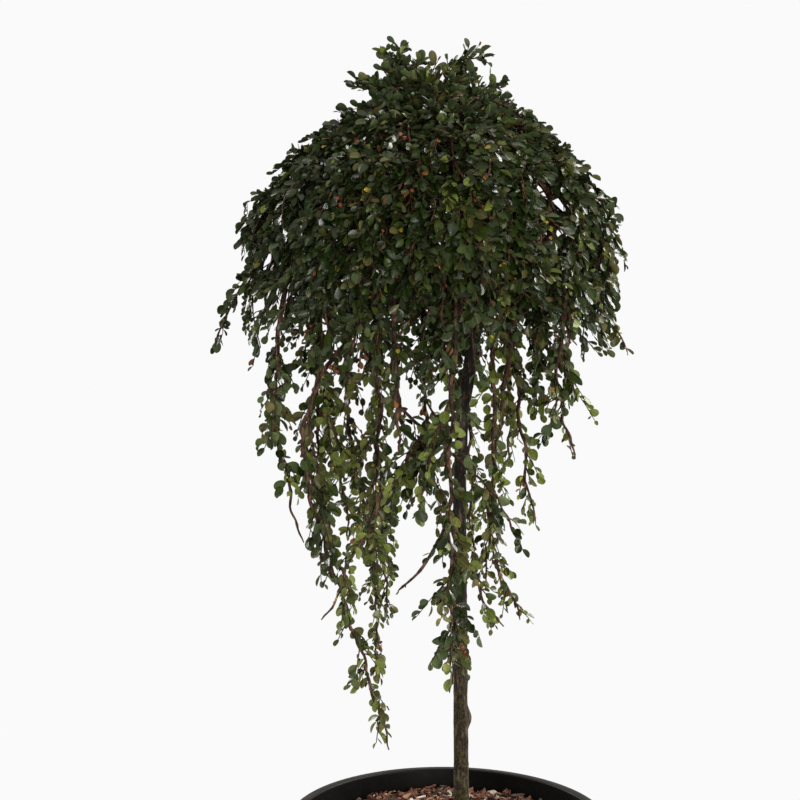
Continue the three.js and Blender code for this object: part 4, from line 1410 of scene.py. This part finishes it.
def set_world():
    """A white studio: plain white to the eye, and a soft light on the plant that comes from above."""
    world = bpy.data.worlds.new("studio")
    bpy.context.scene.world = world
    world.use_nodes = True
    tree = world.node_tree
    white = tree.nodes["Background"]
    white.inputs["Color"].default_value = (0.955, 0.955, 0.955, 1)
    direction = node(tree, "TexCoord").outputs["Generated"]
    toward = node(tree, "VectorMath", {0: direction, 1: (0.5, 0.3, 0.81)}, operation="DOT_PRODUCT")
    spread = {"From Min": -0.5, "From Max": 0.8, "To Min": 0.3, "To Max": 0.95}
    strength = node(tree, "MapRange", {**spread, "Value": toward.outputs["Value"]}).outputs["Result"]
    light = node(tree, "Background", {"Color": (1.0, 0.93, 0.81), "Strength": strength})
    to_eye = node(tree, "LightPath").outputs["Is Camera Ray"]
    mix = node(tree, "MixShader", {"Fac": to_eye, 1: light.outputs[0], 2: white.outputs[0]})
    tree.links.new(mix.outputs[0], tree.nodes["World Output"].inputs["Surface"])


def make_camera():
    data = bpy.data.cameras.new("camera")
    data.lens = LENS
    data.sensor_width = SENSOR
    camera = placed("camera", data)
    camera.location = EYE * MM
    camera.rotation_euler = (math.radians(90), 0, 0)
    bpy.context.scene.camera = camera


# The whole plant

wood = Shape()
long_boughs = grow_long_boughs(wood)
dome_boughs = grow_dome_boughs(wood)
leader = grow_leader(wood)
bark = shoot_bark_material()
bough_nodes = [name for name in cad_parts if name.startswith("bough_")]
wood.make("boughs_bark", [bark], "shoot_bark", bough_nodes)
make_stem()

primaries = primary_shoots(dome_boughs)
shoots = primaries + [fine_shoot(k, primaries, leader) for k in range(FINE_SHOOTS)]
crown = Foliage(SMALL_LEAF, CROWN_TINTS)
grow_dome(crown, shoots)
lay_under(crown)
grow_top(crown, leader)
hanging = Foliage(LARGE_LEAF, PAINTED_SHADE_FRONT_TINTS)
grow_hanging(hanging)
grow_curtain(hanging, long_boughs + shoots)

CROWN_PARTS = [
    ("_right_back", ["crown_right_back", "crown_back_right"]),
    ("_left_back", ["crown_back_left", "crown_left_back"]),
    ("_left_front", ["crown_left_front", "crown_front_left"]),
    ("_right_front", ["crown_front_right", "crown_right_front", "crown_top"]),
]
shoot_nodes = [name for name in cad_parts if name.startswith("shoots_")]
make_leaves(crown, "crown", CROWN_PARTS, quadrant_of)
make_leaves(hanging, "hanging", [("", shoot_nodes)], lambda points: np.zeros(len(points), int))
make_twigs(crown, "twigs_crown", bark, 5, 3, 0.1)
make_twigs(hanging, "twigs_hanging", bark, 8, 4, 0.42)
make_berries(gathered(crown.sprays + hanging.sprays), bark)

make_pot()
make_compost()
make_chips()

make_floor()
set_world()
add_soft_light("key", (1.3, 0.5, 1.7), (0, 0, 0.7), 1.1, 42)
add_soft_light("back", (-1.5, 1.1, 1.4), (0, 0, 0.6), 1.2, 32)
add_soft_light("front", (1.5, -1.4, 1.6), (0, 0, 0.6), 0.7, 9)
add_soft_light("low", (0.4, -1.7, 0.3), (0, 0, 0.42), 0.9, 18, (1, 0.95, 0.86))
make_camera()
bpy.context.scene.view_settings.view_transform = "Standard"
